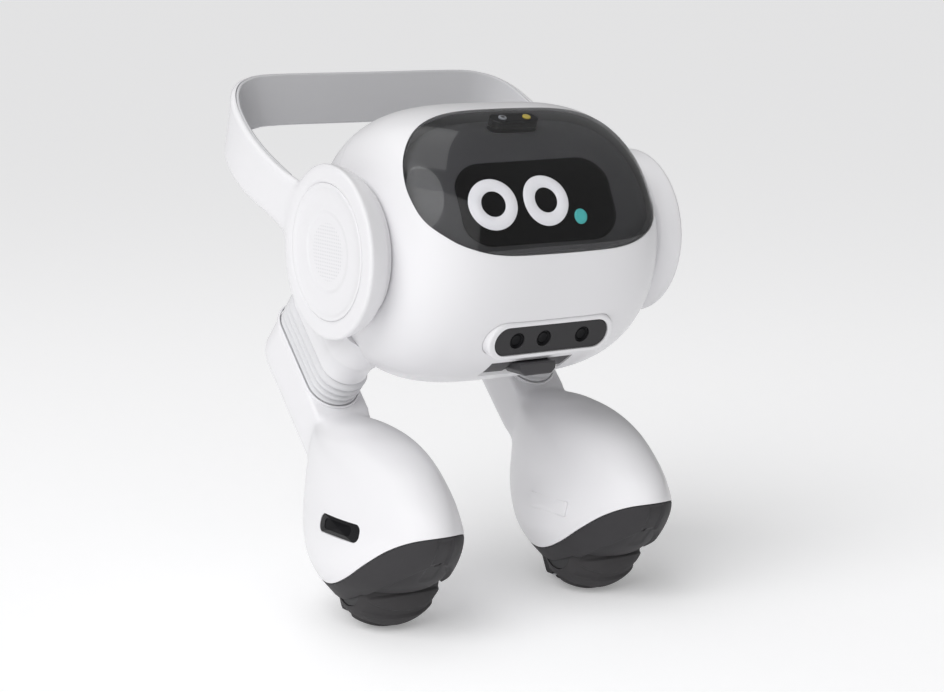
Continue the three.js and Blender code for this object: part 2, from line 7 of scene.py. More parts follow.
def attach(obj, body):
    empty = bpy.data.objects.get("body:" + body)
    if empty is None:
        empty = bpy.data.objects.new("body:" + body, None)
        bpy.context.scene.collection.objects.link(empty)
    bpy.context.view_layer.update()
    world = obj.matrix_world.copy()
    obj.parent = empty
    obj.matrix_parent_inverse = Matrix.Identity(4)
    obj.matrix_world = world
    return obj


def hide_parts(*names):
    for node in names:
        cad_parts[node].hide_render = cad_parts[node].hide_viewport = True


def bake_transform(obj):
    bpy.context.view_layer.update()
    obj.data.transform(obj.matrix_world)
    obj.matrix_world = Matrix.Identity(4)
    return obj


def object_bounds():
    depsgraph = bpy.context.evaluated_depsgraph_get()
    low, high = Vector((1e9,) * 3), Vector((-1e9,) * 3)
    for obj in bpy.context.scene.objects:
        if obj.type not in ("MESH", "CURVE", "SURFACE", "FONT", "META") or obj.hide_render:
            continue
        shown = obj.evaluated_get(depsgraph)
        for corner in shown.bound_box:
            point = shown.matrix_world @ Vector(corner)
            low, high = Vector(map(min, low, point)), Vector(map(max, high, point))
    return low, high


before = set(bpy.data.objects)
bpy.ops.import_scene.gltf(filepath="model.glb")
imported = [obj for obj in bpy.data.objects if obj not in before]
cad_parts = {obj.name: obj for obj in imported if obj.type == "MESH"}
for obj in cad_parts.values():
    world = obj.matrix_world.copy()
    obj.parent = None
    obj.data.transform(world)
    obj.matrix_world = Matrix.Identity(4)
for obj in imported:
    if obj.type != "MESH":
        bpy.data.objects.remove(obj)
cad_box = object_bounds()

# ---------------------------------------------------------------- dimensions, in metres per profile unit
K = 0.00085
MM = 0.001
Y0, Z0 = -45.7 * K, 329.6 * K
BODY = dict(A=136.95, R=121.6, P=3.58, Y=1.5, Z=-0.6, END=133.0, HOLE=55.0)
SEAM_Y = 36.0
LEG_X, FOOT_X = 108.0, 112.0
WHEEL = dict(X=111.0, Y=-15.0, R=43.0, W=28.0)
ROLLER = dict(Y=21.5, R=6.2, W=12.0, LIFT=0.35 * MM)
GAP = 0.3 * MM
N = math.sqrt(0.5)


def T(x, y, z):
    return (K * x, K * y + Y0, K * z + Z0)


def table(rows, x):
    rows = np.asarray(rows, float)
    n = len(rows)
    i = 0
    while i < n - 2 and x > rows[i + 1][0]:
        i += 1
    h = rows[i + 1][0] - rows[i][0]
    t = min(1.0, max(0.0, (x - rows[i][0]) / h))

    def d(a, b):
        return (rows[b] - rows[a]) / (rows[b][0] - rows[a][0])
    m0 = d(i - 1, i + 1) if i > 0 else d(0, 1)
    m1 = d(i, i + 2) if i < n - 2 else d(n - 2, n - 1)
    return (2 * t**3 - 3 * t * t + 1) * rows[i] + (t**3 - 2 * t * t + t) * h * m0 + (-2 * t**3 + 3 * t * t) * rows[i + 1] + (t**3 - t * t) * h * m1


# ---------------------------------------------------------------- mesh helpers
def obj_from(name, verts, faces, smooth=True):
    me = bpy.data.meshes.new(name)
    me.from_pydata([tuple(map(float, v)) for v in verts], [], faces)
    me.update()
    bm = bmesh.new()
    bm.from_mesh(me)
    bmesh.ops.remove_doubles(bm, verts=bm.verts, dist=1e-7)
    bmesh.ops.recalc_face_normals(bm, faces=bm.faces)
    if bm.calc_volume(signed=True) < 0:
        bmesh.ops.reverse_faces(bm, faces=bm.faces)
    bm.to_mesh(me)
    bm.free()
    if smooth:
        me.shade_smooth()
    o = bpy.data.objects.new(name, me)
    bpy.context.scene.collection.objects.link(o)
    return o


def rings(name, loops, cap0=None, cap1=None, closed=False, smooth=True):
    """A skin through equal loops of points; cap points close its ends, closed joins the last loop to the first."""
    L = [np.asarray(l, float) for l in loops]
    n, m = len(L[0]), len(L)
    V = np.concatenate(L)
    F = []
    for j in range(m if closed else m - 1):
        a, b = j * n, ((j + 1) % m) * n
        for i in range(n):
            k = (i + 1) % n
            F.append((a + i, a + k, b + k, b + i))
    V = [tuple(v) for v in V]
    if not closed:
        for cap, base in ((cap0, 0), (cap1, (m - 1) * n)):
            if cap is None:
                F.append(tuple(range(base, base + n)))
            else:
                V.append(tuple(cap))
                c = len(V) - 1
                for i in range(n):
                    F.append((base + i, base + (i + 1) % n, c))
    return obj_from(name, V, F, smooth)


def turn(name, prof, n=96, y=0.0, z=0.0, closed=True):
    """Turned about the X axis: prof holds (x, radius) in units."""
    th = np.linspace(0, 2 * math.pi, n, endpoint=False)
    axis = []
    loops = []
    caps = [None, None]
    for i, (x, r) in enumerate(prof):
        if r <= 0:
            caps[0 if not loops else 1] = T(x, y, z)
            continue
        loops.append([T(x, y + r * math.cos(t), z + r * math.sin(t)) for t in th])
    if caps[0] is not None:
        return rings(name, loops, caps[0], caps[1])
    return rings(name, loops, closed=True)


def fillet(prof, r, seg=5, closed=True):
    """Rounds the corners of a closed profile of (x, radius) points."""
    P = [np.array(p, float) for p in prof]
    out = []
    m = len(P)
    for i in range(m):
        a, b, c = P[i - 1], P[i], P[(i + 1) % m]
        rr = r[i] if isinstance(r, (list, tuple)) else r
        if rr <= 0 or b[1] <= 0:
            out.append(tuple(b))
            continue
        u, v = a - b, c - b
        lu, lv = np.linalg.norm(u), np.linalg.norm(v)
        k = min(rr, lu * 0.45, lv * 0.45)
        p, q = b + u / lu * k, b + v / lv * k
        for s in np.linspace(0, 1, seg + 1):
            out.append(tuple((1 - s) ** 2 * p + 2 * s * (1 - s) * b + s * s * q))
    return out


def boolean(a, b, op, keep=False):
    m = a.modifiers.new("b", "BOOLEAN")
    m.operation = op
    m.solver = "MANIFOLD"
    m.object = b
    dg = bpy.context.evaluated_depsgraph_get()
    me = bpy.data.meshes.new_from_object(a.evaluated_get(dg))
    if len(me.polygons) < 10:
        m.solver = "EXACT"
        dg = bpy.context.evaluated_depsgraph_get()
        me = bpy.data.meshes.new_from_object(a.evaluated_get(dg))
    a.modifiers.clear()
    a.data = me
    if not keep:
        bpy.data.objects.remove(b, do_unlink=True)
    return a


def bake(o):
    dg = bpy.context.evaluated_depsgraph_get()
    me = bpy.data.meshes.new_from_object(o.evaluated_get(dg))
    o.modifiers.clear()
    o.data = me
    return o


def soften(o, angle=38, bevel=0.0, seg=2):
    """Smooth shading with crisp edges; the edges get a small radius."""
    o.data.shade_smooth()
    o.data.set_sharp_from_angle(angle=math.radians(angle))
    if bevel > 0:
        m = o.modifiers.new("bevel", "BEVEL")
        m.width = bevel
        m.segments = seg
        m.limit_method = "ANGLE"
        m.angle_limit = math.radians(angle)
        m.use_clamp_overlap = True
        m.harden_normals = True
        bake(o)
    m = o.modifiers.new("wn", "WEIGHTED_NORMAL")
    m.keep_sharp = True
    m.weight = 60
    return bake(o)


def remesh(o, voxel, smooth=10, factor=0.5):
    m = o.modifiers.new("r", "REMESH")
    m.mode = "VOXEL"
    m.voxel_size = voxel
    m.adaptivity = 0.0
    bake(o)
    if smooth:
        m = o.modifiers.new("s", "SMOOTH")
        m.factor = factor
        m.iterations = smooth
        bake(o)
    o.data.shade_smooth()
    return o


def join(name, objs):
    bm = bmesh.new()
    for o in objs:
        bm.from_mesh(o.data)
    me = bpy.data.meshes.new(name)
    bm.to_mesh(me)
    bm.free()
    for o in objs:
        bpy.data.objects.remove(o, do_unlink=True)
    o = bpy.data.objects.new(name, me)
    bpy.context.scene.collection.objects.link(o)
    return o


def box(x0, x1, y0, y1, z0, z1, name="cut"):
    v = [T(x, y, z) for x in (x0, x1) for y in (y0, y1) for z in (z0, z1)]
    f = [(0, 1, 3, 2), (4, 6, 7, 5), (0, 4, 5, 1), (2, 3, 7, 6), (0, 2, 6, 4), (1, 5, 7, 3)]
    return obj_from(name, v, f, False)


# ---------------------------------------------------------------- materials
def mat(name, color, rough=0.4, metal=0.0, coat=0.0, vary=0.03, grain=900.0, bump=0.02, wear=0.06, spec=0.5):
    """Plastic, rubber or metal with faint colour drift, fine grain, rubbed patches and tiny specks."""
    m = bpy.data.materials.new(name)
    m.use_nodes = True
    nt = m.node_tree
    b = nt.nodes["Principled BSDF"]
    geo = nt.nodes.new("ShaderNodeTexCoord")
    big = nt.nodes.new("ShaderNodeTexNoise")
    big.inputs["Scale"].default_value = 14.0
    big.inputs["Detail"].default_value = 5.0
    nt.links.new(geo.outputs["Object"], big.inputs["Vector"])
    fine = nt.nodes.new("ShaderNodeTexNoise")
    fine.inputs["Scale"].default_value = grain
    fine.inputs["Detail"].default_value = 2.0
    nt.links.new(geo.outputs["Object"], fine.inputs["Vector"])
    ramp = nt.nodes.new("ShaderNodeMix")
    ramp.data_type = "RGBA"
    c = list(color)
    ramp.inputs["A"].default_value = [max(0, v * (1 - vary)) for v in c] + [1]
    ramp.inputs["B"].default_value = [min(1, v * (1 + vary)) for v in c] + [1]
    nt.links.new(big.outputs["Fac"], ramp.inputs["Factor"])
    speck = nt.nodes.new("ShaderNodeTexVoronoi")
    speck.inputs["Scale"].default_value = 260.0
    nt.links.new(geo.outputs["Object"], speck.inputs["Vector"])
    dots = nt.nodes.new("ShaderNodeMapRange")
    dots.inputs["From Min"].default_value = 0.0
    dots.inputs["From Max"].default_value = 0.07
    dots.inputs["To Min"].default_value = 1.0 - wear
    dots.inputs["To Max"].default_value = 1.0
    nt.links.new(speck.outputs["Distance"], dots.inputs["Value"])
    mul = nt.nodes.new("ShaderNodeMix")
    mul.data_type = "RGBA"
    mul.blend_type = "MULTIPLY"
    mul.inputs["Factor"].default_value = 1.0
    nt.links.new(ramp.outputs["Result"], mul.inputs["A"])
    nt.links.new(dots.outputs["Result"], mul.inputs["B"])
    nt.links.new(mul.outputs["Result"], b.inputs["Base Color"])
    rr = nt.nodes.new("ShaderNodeMapRange")
    rr.inputs["To Min"].default_value = max(0.02, rough * 0.82)
    rr.inputs["To Max"].default_value = min(1.0, rough * 1.2)
    mid = nt.nodes.new("ShaderNodeTexNoise")
    mid.inputs["Scale"].default_value = 55.0
    mid.inputs["Detail"].default_value = 6.0
    nt.links.new(geo.outputs["Object"], mid.inputs["Vector"])
    nt.links.new(mid.outputs["Fac"], rr.inputs["Value"])
    nt.links.new(rr.outputs["Result"], b.inputs["Roughness"])
    bp = nt.nodes.new("ShaderNodeBump")
    bp.inputs["Strength"].default_value = bump
    bp.inputs["Distance"].default_value = 0.0004
    nt.links.new(fine.outputs["Fac"], bp.inputs["Height"])
    nt.links.new(bp.outputs["Normal"], b.inputs["Normal"])
    b.inputs["Metallic"].default_value = metal
    b.inputs["Coat Weight"].default_value = coat
    b.inputs["Coat Roughness"].default_value = 0.12
    b.inputs["Specular IOR Level"].default_value = spec
    return m


white = mat("white_shell", (0.77, 0.765, 0.782), 0.34, coat=0.25, vary=0.012, bump=0.015, wear=0.04)
# Handle inner cover colour: this grey, darker than the white shell, is painted shade standing in for the shade on the
# inside of the handle loop.
handle_shade_grey = mat("grey_cover", (0.56, 0.56, 0.575), 0.42, coat=0.1, vary=0.02, bump=0.04)
bootm = mat("boot_rubber", (0.66, 0.66, 0.675), 0.55, vary=0.03, bump=0.10, grain=1500)
sole = mat("dark_sole", (0.038, 0.0365, 0.039), 0.62, vary=0.10, bump=0.12, grain=1600, wear=0.2, spec=0.3)
tyre = mat("wheel_rubber", (0.047, 0.045, 0.047), 0.70, vary=0.14, bump=0.18, grain=1200, wear=0.3, spec=0.25)
pupil = mat("lens_black", (0.004, 0.004, 0.005), 0.35, vary=0.1, bump=0.01, wear=0.02, spec=0.12)
black2 = mat("window_black", (0.010, 0.010, 0.011), 0.25, vary=0.1, bump=0.01, wear=0.03, spec=0.3)
bar = mat("dark_bar", (0.030, 0.029, 0.031), 0.5, vary=0.08, bump=0.08, grain=1600, wear=0.12, spec=0.3)
dock = mat("dock_plastic", (0.062, 0.060, 0.064), 0.5, vary=0.07, bump=0.08, grain=1600, wear=0.12, spec=0.35)
black = mat("black_gloss", (0.004, 0.004, 0.005), 0.08, coat=1.0, vary=0.1, bump=0.004)
lensm = mat("clear_lens", (0.20, 0.21, 0.23), 0.2, coat=0.6, vary=0.08, bump=0.004)
amber = mat("amber_lens", (0.42, 0.33, 0.05), 0.2, coat=0.6, vary=0.1, bump=0.004)
alloy = mat("alloy", (0.55, 0.56, 0.58), 0.35, metal=1.0, vary=0.05, bump=0.06, grain=2000)
framem = mat("dark_frame", (0.03, 0.03, 0.032), 0.55, vary=0.08, bump=0.08)
battery = mat("battery_wrap", (0.04, 0.09, 0.2), 0.4, vary=0.08, bump=0.05)
board = mat("circuit_board", (0.02, 0.12, 0.05), 0.4, vary=0.2, bump=0.1)


def glow(name, color, strength):
    m = mat(name, color, 0.4, vary=0.02)
    b = m.node_tree.nodes["Principled BSDF"]
    b.inputs["Emission Color"].default_value = list(color) + [1]
    b.inputs["Emission Strength"].default_value = strength
    return m


eye_white = glow("eye_light", (0.80, 0.80, 0.82), 0.98)
dot_teal = glow("dot_light", (0.075, 0.46, 0.45), 0.86)

def smoked_glass():
    m = mat("smoked_visor", (0.62, 0.62, 0.63), 0.04, coat=1.0, vary=0.02, bump=0.0, grain=300, wear=0.0)
    b = m.node_tree.nodes["Principled BSDF"]
    b.inputs["Transmission Weight"].default_value = 1.0
    b.inputs["IOR"].default_value = 1.02
    b.inputs["Coat Roughness"].default_value = 0.03
    b.inputs["Coat IOR"].default_value = 1.46
    return m


def grille(name):
    """White cover with rows of small sound holes in the middle."""
    m = mat(name, (0.77, 0.765, 0.782), 0.36, coat=0.2, vary=0.012, bump=0.02, wear=0.04)
    nt = m.node_tree
    b = nt.nodes["Principled BSDF"]
    tc = nt.nodes.new("ShaderNodeTexCoord")
    sep = nt.nodes.new("ShaderNodeSeparateXYZ")
    nt.links.new(tc.outputs["Object"], sep.inputs[0])

    def mth(op, x, y=None):
        n = nt.nodes.new("ShaderNodeMath")
        n.operation = op
        for i, v in enumerate((x, y)):
            if v is None:
                continue
            if isinstance(v, (int, float)):
                n.inputs[i].default_value = v
            else:
                nt.links.new(v, n.inputs[i])
        return n.outputs[0]
    y = mth("SUBTRACT", sep.outputs["Y"], Y0)
    z = mth("SUBTRACT", sep.outputs["Z"], Z0)
    P_ = 0.0026
    fy = mth("SUBTRACT", mth("FRACT", mth("ADD", mth("DIVIDE", y, P_), 100.5)), 0.5)
    fz = mth("SUBTRACT", mth("FRACT", mth("ADD", mth("DIVIDE", z, P_), 100.5)), 0.5)
    d = mth("SQRT", mth("ADD", mth("MULTIPLY", fy, fy), mth("MULTIPLY", fz, fz)))
    hole = nt.nodes.new("ShaderNodeMapRange")
    hole.inputs["From Min"].default_value = 0.20
    hole.inputs["From Max"].default_value = 0.30
    nt.links.new(d, hole.inputs["Value"])
    rad = mth("SQRT", mth("ADD", mth("MULTIPLY", y, y), mth("MULTIPLY", z, z)))
    inside = nt.nodes.new("ShaderNodeMapRange")
    inside.inputs["From Min"].default_value = 0.0205
    inside.inputs["From Max"].default_value = 0.0215
    nt.links.new(rad, inside.inputs["Value"])
    keep = mth("MAXIMUM", hole.outputs[0], inside.outputs[0])
    old = b.inputs["Base Color"].links[0].from_socket
    mx = nt.nodes.new("ShaderNodeMix")
    mx.data_type = "RGBA"
    mx.inputs["A"].default_value = (0.66, 0.66, 0.68, 1)
    nt.links.new(old, mx.inputs["B"])
    nt.links.new(keep, mx.inputs["Factor"])
    nt.links.new(mx.outputs["Result"], b.inputs["Base Color"])
    bp = b.inputs["Normal"].links[0].from_node
    b2 = nt.nodes.new("ShaderNodeBump")
    b2.inputs["Strength"].default_value = 0.25
    b2.inputs["Distance"].default_value = 0.0004
    nt.links.new(keep, b2.inputs["Height"])
    nt.links.new(bp.outputs["Normal"], b2.inputs["Normal"])
    nt.links.new(b2.outputs["Normal"], b.inputs["Normal"])
    return m


smoked = smoked_glass()
tray_m = mat("tray_plastic", (0.125, 0.125, 0.13), 0.65, vary=0.04, bump=0.0, spec=0.1)
screen_m = mat("screen_glass", (0.003, 0.003, 0.0035), 0.3, vary=0.1, bump=0.002, spec=0.05)
ear_m = grille("ear_grille")


def give(o, m):
    o.data.materials.clear()
    o.data.materials.append(m)
    return o


def done(o, m, body, nodes=()):
    lo_, hi_ = (np.array([float(q) for q in p_]) for p_ in cad_box)
    co_ = np.empty(len(o.data.vertices) * 3)
    o.data.vertices.foreach_get("co", co_)
    new_ = np.clip(co_.reshape(-1, 3), lo_ + 0.00005, hi_ - 0.00005)
    if np.abs(new_.ravel() - co_).max() > 0:
        o.data.vertices.foreach_set("co", new_.ravel())
        o.data.update()
    give(o, m)
    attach(o, body)
    if nodes:
        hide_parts(*nodes)
    return o


# ---------------------------------------------------------------- drum body
def bodyR(x):
    return BODY["R"] * max(0.0, 1 - abs(x / BODY["A"]) ** BODY["P"]) ** (1 / BODY["P"])


def P(x, phi, off=0.0):
    """Point at X, phi degrees above the front, off metres outside the drum."""
    a = math.radians(phi)
    e = 0.25
    s = (bodyR(x + e) - bodyR(x - e)) / (2 * e)
    r = bodyR(x) + off / K
    return T(x, BODY["Y"] - r * math.cos(a), BODY["Z"] + r * math.sin(a))


def drum_profile(off, m):
    t = np.linspace(-1, 1, m)
    xs = np.sign(t) * BODY["END"] * (1 - (1 - np.abs(t)) ** 1.7)
    out = []
    for x in xs:
        e = 0.3
        s = (bodyR(x + e) - bodyR(x - e)) / (2 * e)
        l = math.hypot(1, s)
        out.append((x - off / K * s / l, bodyR(x) + off / K / l))
    return out


def drum(name, n=200, m=71, wall=3.0 * MM):
    o = drum_profile(0, m)
    i = [(max(-BODY["END"], min(BODY["END"], x)), r) for x, r in drum_profile(-wall, m)][::-1]
    i = [p for p in i if p[1] > BODY["HOLE"]]
    prof = o + [(BODY["END"], BODY["HOLE"])] + i + [(-BODY["END"], BODY["HOLE"])]
    return turn(name, prof, n, BODY["Y"], BODY["Z"])


visor_half = [[1.4, 0], [1.6, 40], [2.1, 60], [3.8, 79], [7.4, 97], [11.5, 107], [16.5, 115], [23, 120], [33, 122.5], [43, 122.5], [52, 120], [59, 115.5], [65.5, 107], [70.5, 95], [73.8, 78], [75.6, 52], [76.2, 0]]
VM = 36.0


def visor_edge(n):
    """Outline of the visor as n points (x, phi), evenly spread."""
    rows = np.array(visor_half, float)
    s = np.arange(len(rows), dtype=float)
    q = np.linspace(0, len(rows) - 1, 400)
    R = np.array([table(np.column_stack([s, rows]), v)[1:] for v in q])
    R[:, 1] = np.maximum(R[:, 1], 0)
    full = np.concatenate([R[:, ::-1], (R[:, ::-1] * [-1, 1])[::-1][1:-1]])
    d = np.diff(np.concatenate([full, full[:1]]), axis=0) * [1, 2.1]
    c = np.concatenate([[0], np.cumsum(np.hypot(*d.T))])
    u = np.linspace(0, c[-1], n, endpoint=False)
    F = np.concatenate([full, full[:1]])
    E = np.column_stack([np.interp(u, c, F[:, 0]), np.interp(u, c, F[:, 1])])
    for _ in range(3):
        E = (np.roll(E, 1, 0) + 2 * E + np.roll(E, -1, 0)) / 4
    return E


def visor_patch(name, o1, o0, grow=0.0, n=200, steps=tuple(np.linspace(0, 1, 22)), edge=0.0):
    E = visor_edge(n)
    C = np.array([0, VM])
    dirs = (E - C) * [1, 2.1]
    dirs /= np.linalg.norm(dirs, axis=1)[:, None]
    dirs /= [1, 2.1]
    E = E + dirs * grow / K
    loops = []
    for r in steps[1:-1]:
        q = C + (E - C) * r
        loops.append([P(x, p, o1) for x, p in q])
    if edge > 0:   # rounded rim
        for s in np.linspace(0, 1, 5):
            q = E - dirs * (edge / K) * (1 - math.sin(s * math.pi / 2))
            loops.append([P(x, p, o1 - edge * (1 - math.cos(s * math.pi / 2))) for x, p in q])
    else:
        loops.append([P(x, p, o1) for x, p in E])
    loops.append([P(x, p, o0) for x, p in E])
    for r in steps[1:-1][::-1]:
        q = C + (E - C) * r
        loops.append([P(x, p, o0) for x, p in q])
    return rings(name, loops, P(0, VM, o1), P(0, VM, o0))


CHIN = dict(X=0.0, Y=-102.5, Z=-72.5, W=65.0, H=17.5, D=36.0, TILT=-0.3)


def chin_pill(name, w, h, d0, d1, r=0.0, n=28):
    """Pill across X on the chin axis; w, h half sizes in units, from depth d0 to d1 behind the front face, front edge rounded by r."""
    t = CHIN["TILT"]
    ax = np.array([0, math.cos(t), -math.sin(t)])
    up = np.array([0, math.sin(t), math.cos(t)])
    c0 = np.array([CHIN["X"], CHIN["Y"], CHIN["Z"]])

    def loop(d, g):
        out = []
        for s in (1, -1):
            for a in np.linspace(-math.pi / 2, math.pi / 2, n):
                x = s * (w - h) + s * (h - g) * math.cos(a)
                z = s * (h - g) * math.sin(a)
                out.append(T(*(c0 + ax * d + up * z + np.array([x, 0, 0]))))
        return out
    if r > 0:
        loops = [loop(d0, r + (h - r) * 0.6), loop(d0, r + (h - r) * 0.15)]
        for f in np.linspace(0, math.pi / 2, 8):
            loops.append(loop(d0 + r - r * math.cos(f), r - r * math.sin(f)))
        loops.append(loop(d1, 0))
    else:
        loops = [loop(d0, 0), loop(d1, 0)]
    return rings(name, loops)


def DS(x, d, s):
    return T(x, N * (d - s), -N * (d + s))


def stadium(side, d, w, s0, s1, n=48):
    out = []
    for k in range(2):
        for a in np.linspace(0, math.pi, n // 2):
            c, s = math.cos(a), math.sin(a)
            if k == 0:
                out.append(DS(side * LEG_X + w * c, d, s1 - w + w * s))
            else:
                out.append(DS(side * LEG_X - w * c, d, s0 + w - w * s))
    return out


def prism(name, side, levels, n=48):
    return rings(name, [stadium(side, d, w, a, b, n) for d, w, a, b in levels])


foot = [[-306, -4, 33, 36.5], [-300, -5, 42, 42], [-285, -6.5, 67, 53], [-270, -6, 83, 57.5], [-252, -7, 97, 56], [-236, -7.5, 104.5, 52], [-222, -5.5, 103.5, 48.5], [-208, -1.7, 99, 46.3], [-195, 3.2, 90.5, 44.5], [-183, 9.4, 80.5, 42.5], [-173, 18, 68, 39.5], [-165, 29, 54, 34.5], [-159, 41, 34, 25]]
seam = [[-150, -224], [-135, -226], [-120, -228], [-100, -233], [-80, -243], [-60, -257], [-35, -275], [-10, -286], [15, -288], [40, -284], [65, -276], [90, -266], [125, -254], [150, -250]]


def foot_skin(name, side, off=0.0, n=96, m=56):
    o = off / K
    zs = np.linspace(foot[0][0], foot[-1][0], m)
    th = np.linspace(0, 2 * math.pi, n, endpoint=False)
    loops = []
    for z in zs:
        _, yc, b, w = table(foot, z)
        zz = z + (o / 75) * (-240 - z) if o > 0 else z
        loops.append([T(side * FOOT_X + (w - o) * math.cos(t), yc + (b - o) * math.sin(t), zz) for t in th])
    _, yc, b, w = foot[-1]
    # rounded cap
    for s in (0.35, 0.65, 0.88):
        k = math.cos(s * math.pi / 2)
        loops.append([T(side * FOOT_X + (w - o) * k * math.cos(t), yc + (b - o) * k * math.sin(t), foot[-1][0] + 3.0 * math.sin(s * math.pi / 2)) for t in th])
    _, y2, b2, w2 = foot[0]
    return rings(name, loops, T(side * FOOT_X, y2, foot[0][0]), T(side * FOOT_X, yc, foot[-1][0] + 3.2))


def under_seam(name, dz, n=120):
    ys = np.linspace(-150, 150, n)
    top = [(y, table(seam, y)[1] + dz / K) for y in ys]
    out = top + [(150, -420), (-150, -420)]
    V, F = [], []
    for x in (-220, 220):
        V += [T(x, y, z) for y, z in out]
    m = len(out)
    F.append(tuple(range(m)))
    F.append(tuple(range(2 * m - 1, m - 1, -1)))
    for i in range(m):
        k = (i + 1) % m
        F.append((i, k, m + k, m + i))
    return obj_from(name, V, F, False)


# handle band, from ear to ear
band = [[0, 151.5, 26, 6, 24, -33], [1, 156, 60, 28, 24, -33], [2, 160.5, 95, 44.5, 24.5, -33], [3, 163, 125, 59, 25, -32], [4, 162.5, 152, 74.5, 25, -27], [5, 157, 177, 91, 24.5, -19], [6, 144, 195, 105, 24, -10], [7, 125, 204.5, 112.5, 24, -4], [8, 95, 207, 115, 24, 0], [9, 0, 207, 115, 24, 0]]


def band_section(t):
    side = -1 if t < 9 else 1
    q = t if t < 9 else 18 - t

    def f(u):
        return table(band, min(9, max(0, u)))
    _, x, y, z, hb, lean = f(q)
    a, b = f(q - 0.02), f(q + 0.02)
    tv = np.array([side * (b[1] - a[1]), b[2] - a[2], b[3] - a[3]])
    tv = tv / np.linalg.norm(tv) * (1 if t < 9 else -1)
    l = math.radians(lean)
    B = np.array([0, math.sin(l), math.cos(l)])
    B = B - tv * (B @ tv)
    B /= np.linalg.norm(B)
    return np.array([side * x, y, z]), B, np.cross(tv, B), hb


def band_skin(name, ts, n0, n1, edge, c, seg=6):
    loops = []
    for t in ts:
        C, B, Nn, hb = band_section(t)
        hn, hbb = (n1 - n0) / 2, hb - edge
        l = []
        for q in range(4):
            for i in range(seg):
                f = math.radians(q * 90 + i * 90 / (seg - 1))
                b = (1 if q in (0, 3) else -1) * (hbb - c) + c * math.cos(f)
                m = (1 if q < 2 else -1) * (hn - c) + c * math.sin(f)
                p = C + B * b + Nn * ((n0 + n1) / 2 + m)
                l.append(T(*p))
        loops.append(l)
    return rings(name, loops)


def axis_lathe(name, c, axis, prof, n=48):
    """Turned about any axis through c (units): prof holds (distance along the axis, radius) in units, from one end to the other."""
    ax = np.array(axis, float)
    ax /= np.linalg.norm(ax)
    u = np.cross(ax, [1, 0, 0])
    u = np.cross(ax, [0, 1, 0]) if np.linalg.norm(u) < 0.1 else u
    u /= np.linalg.norm(u)
    v = np.cross(ax, u)
    c = np.array(c, float)
    th = np.linspace(0, 2 * math.pi, n, endpoint=False)
    loops = [[T(*(c + ax * h + r * (u * math.cos(t) + v * math.sin(t)))) for t in th] for h, r in prof if r > 0]
    return rings(name, loops, T(*(c + ax * prof[0][0])), T(*(c + ax * prof[-1][0])))


def crown(r, d, e=0.8, dome=0.0):
    """Profile of a small lens or button: rounded front edge at height 0, body to depth -d."""
    out = [(dome, 0), (dome * 0.95, r * 0.25), (dome * 0.75, r * 0.5), (dome * 0.3, (r - e) * 0.85), (0, r - e)]
    out += [(-e * (1 - math.cos(f)), r - e + e * math.sin(f)) for f in np.linspace(0.3, math.pi / 2, 4)]
    return out + [(-d, r), (-d, 0)]


def panel(name, xc, hx, p0, p1, o1, o0, corner=14.0, n=22, steps=tuple(np.linspace(0.06, 1, 18))):
    """Curved plate on the drum: half width hx about xc, from p0 to p1 degrees, corner radius in units."""
    pc = (p0 + p1) / 2
    hp = math.radians(p1 - p0) / 2 * BODY["R"]

    def outline(k):
        out = []
        for sx, sy, a0 in ((1, 1, 0), (-1, 1, 90), (-1, -1, 180), (1, -1, 270)):
            for a in np.linspace(a0, a0 + 90, n):
                x = sx * (hx - corner) + corner * math.cos(math.radians(a))
                y = sy * (hp - corner) + corner * math.sin(math.radians(a))
                out.append((xc + x * k, pc + math.degrees(y * k / BODY["R"])))
        return out
    loops = [[P(x, p, o1) for x, p in outline(k)] for k in steps]
    loops += [[P(x, p, o0) for x, p in outline(k)] for k in steps[::-1]]
    return rings(name, loops, P(xc, pc, o1), P(xc, pc, o0))


def analytic_normals(o, tol=0.00003, off=0.0, sign=1):
    """Exact shading normals on the turned outer surface, so that cuts leave no ripples."""
    me = o.data
    co = np.array([v.co for v in me.vertices])
    cy, cz = K * BODY["Y"] + Y0, K * BODY["Z"] + Z0
    d = co[:, 1:] - [cy, cz]
    r = np.linalg.norm(d, axis=1)
    xs = co[:, 0] / K
    br = np.array([bodyR(x) for x in xs]) * K + off
    slope = np.array([(bodyR(x + 0.25) - bodyR(x - 0.25)) / 0.5 for x in np.clip(xs, -136, 136)])
    on = np.abs(r - br) < np.maximum(tol, 0.00012 * np.abs(slope))
    nn = np.column_stack([-slope, d[:, 0] / np.maximum(r, 1e-9), d[:, 1] / np.maximum(r, 1e-9)])
    nn *= sign / np.linalg.norm(nn, axis=1)[:, None]
    cn = np.array([c.vector for c in me.corner_normals])
    for p in me.polygons:
        vi = [me.loops[l].vertex_index for l in p.loop_indices]
        if all(on[v] for v in vi) and Vector(nn[vi[0]]).dot(p.normal) > 0.7:
            for l, v in zip(p.loop_indices, vi):
                cn[l] = nn[v]
    me.normals_split_custom_set([tuple(v) for v in cn])
    return o


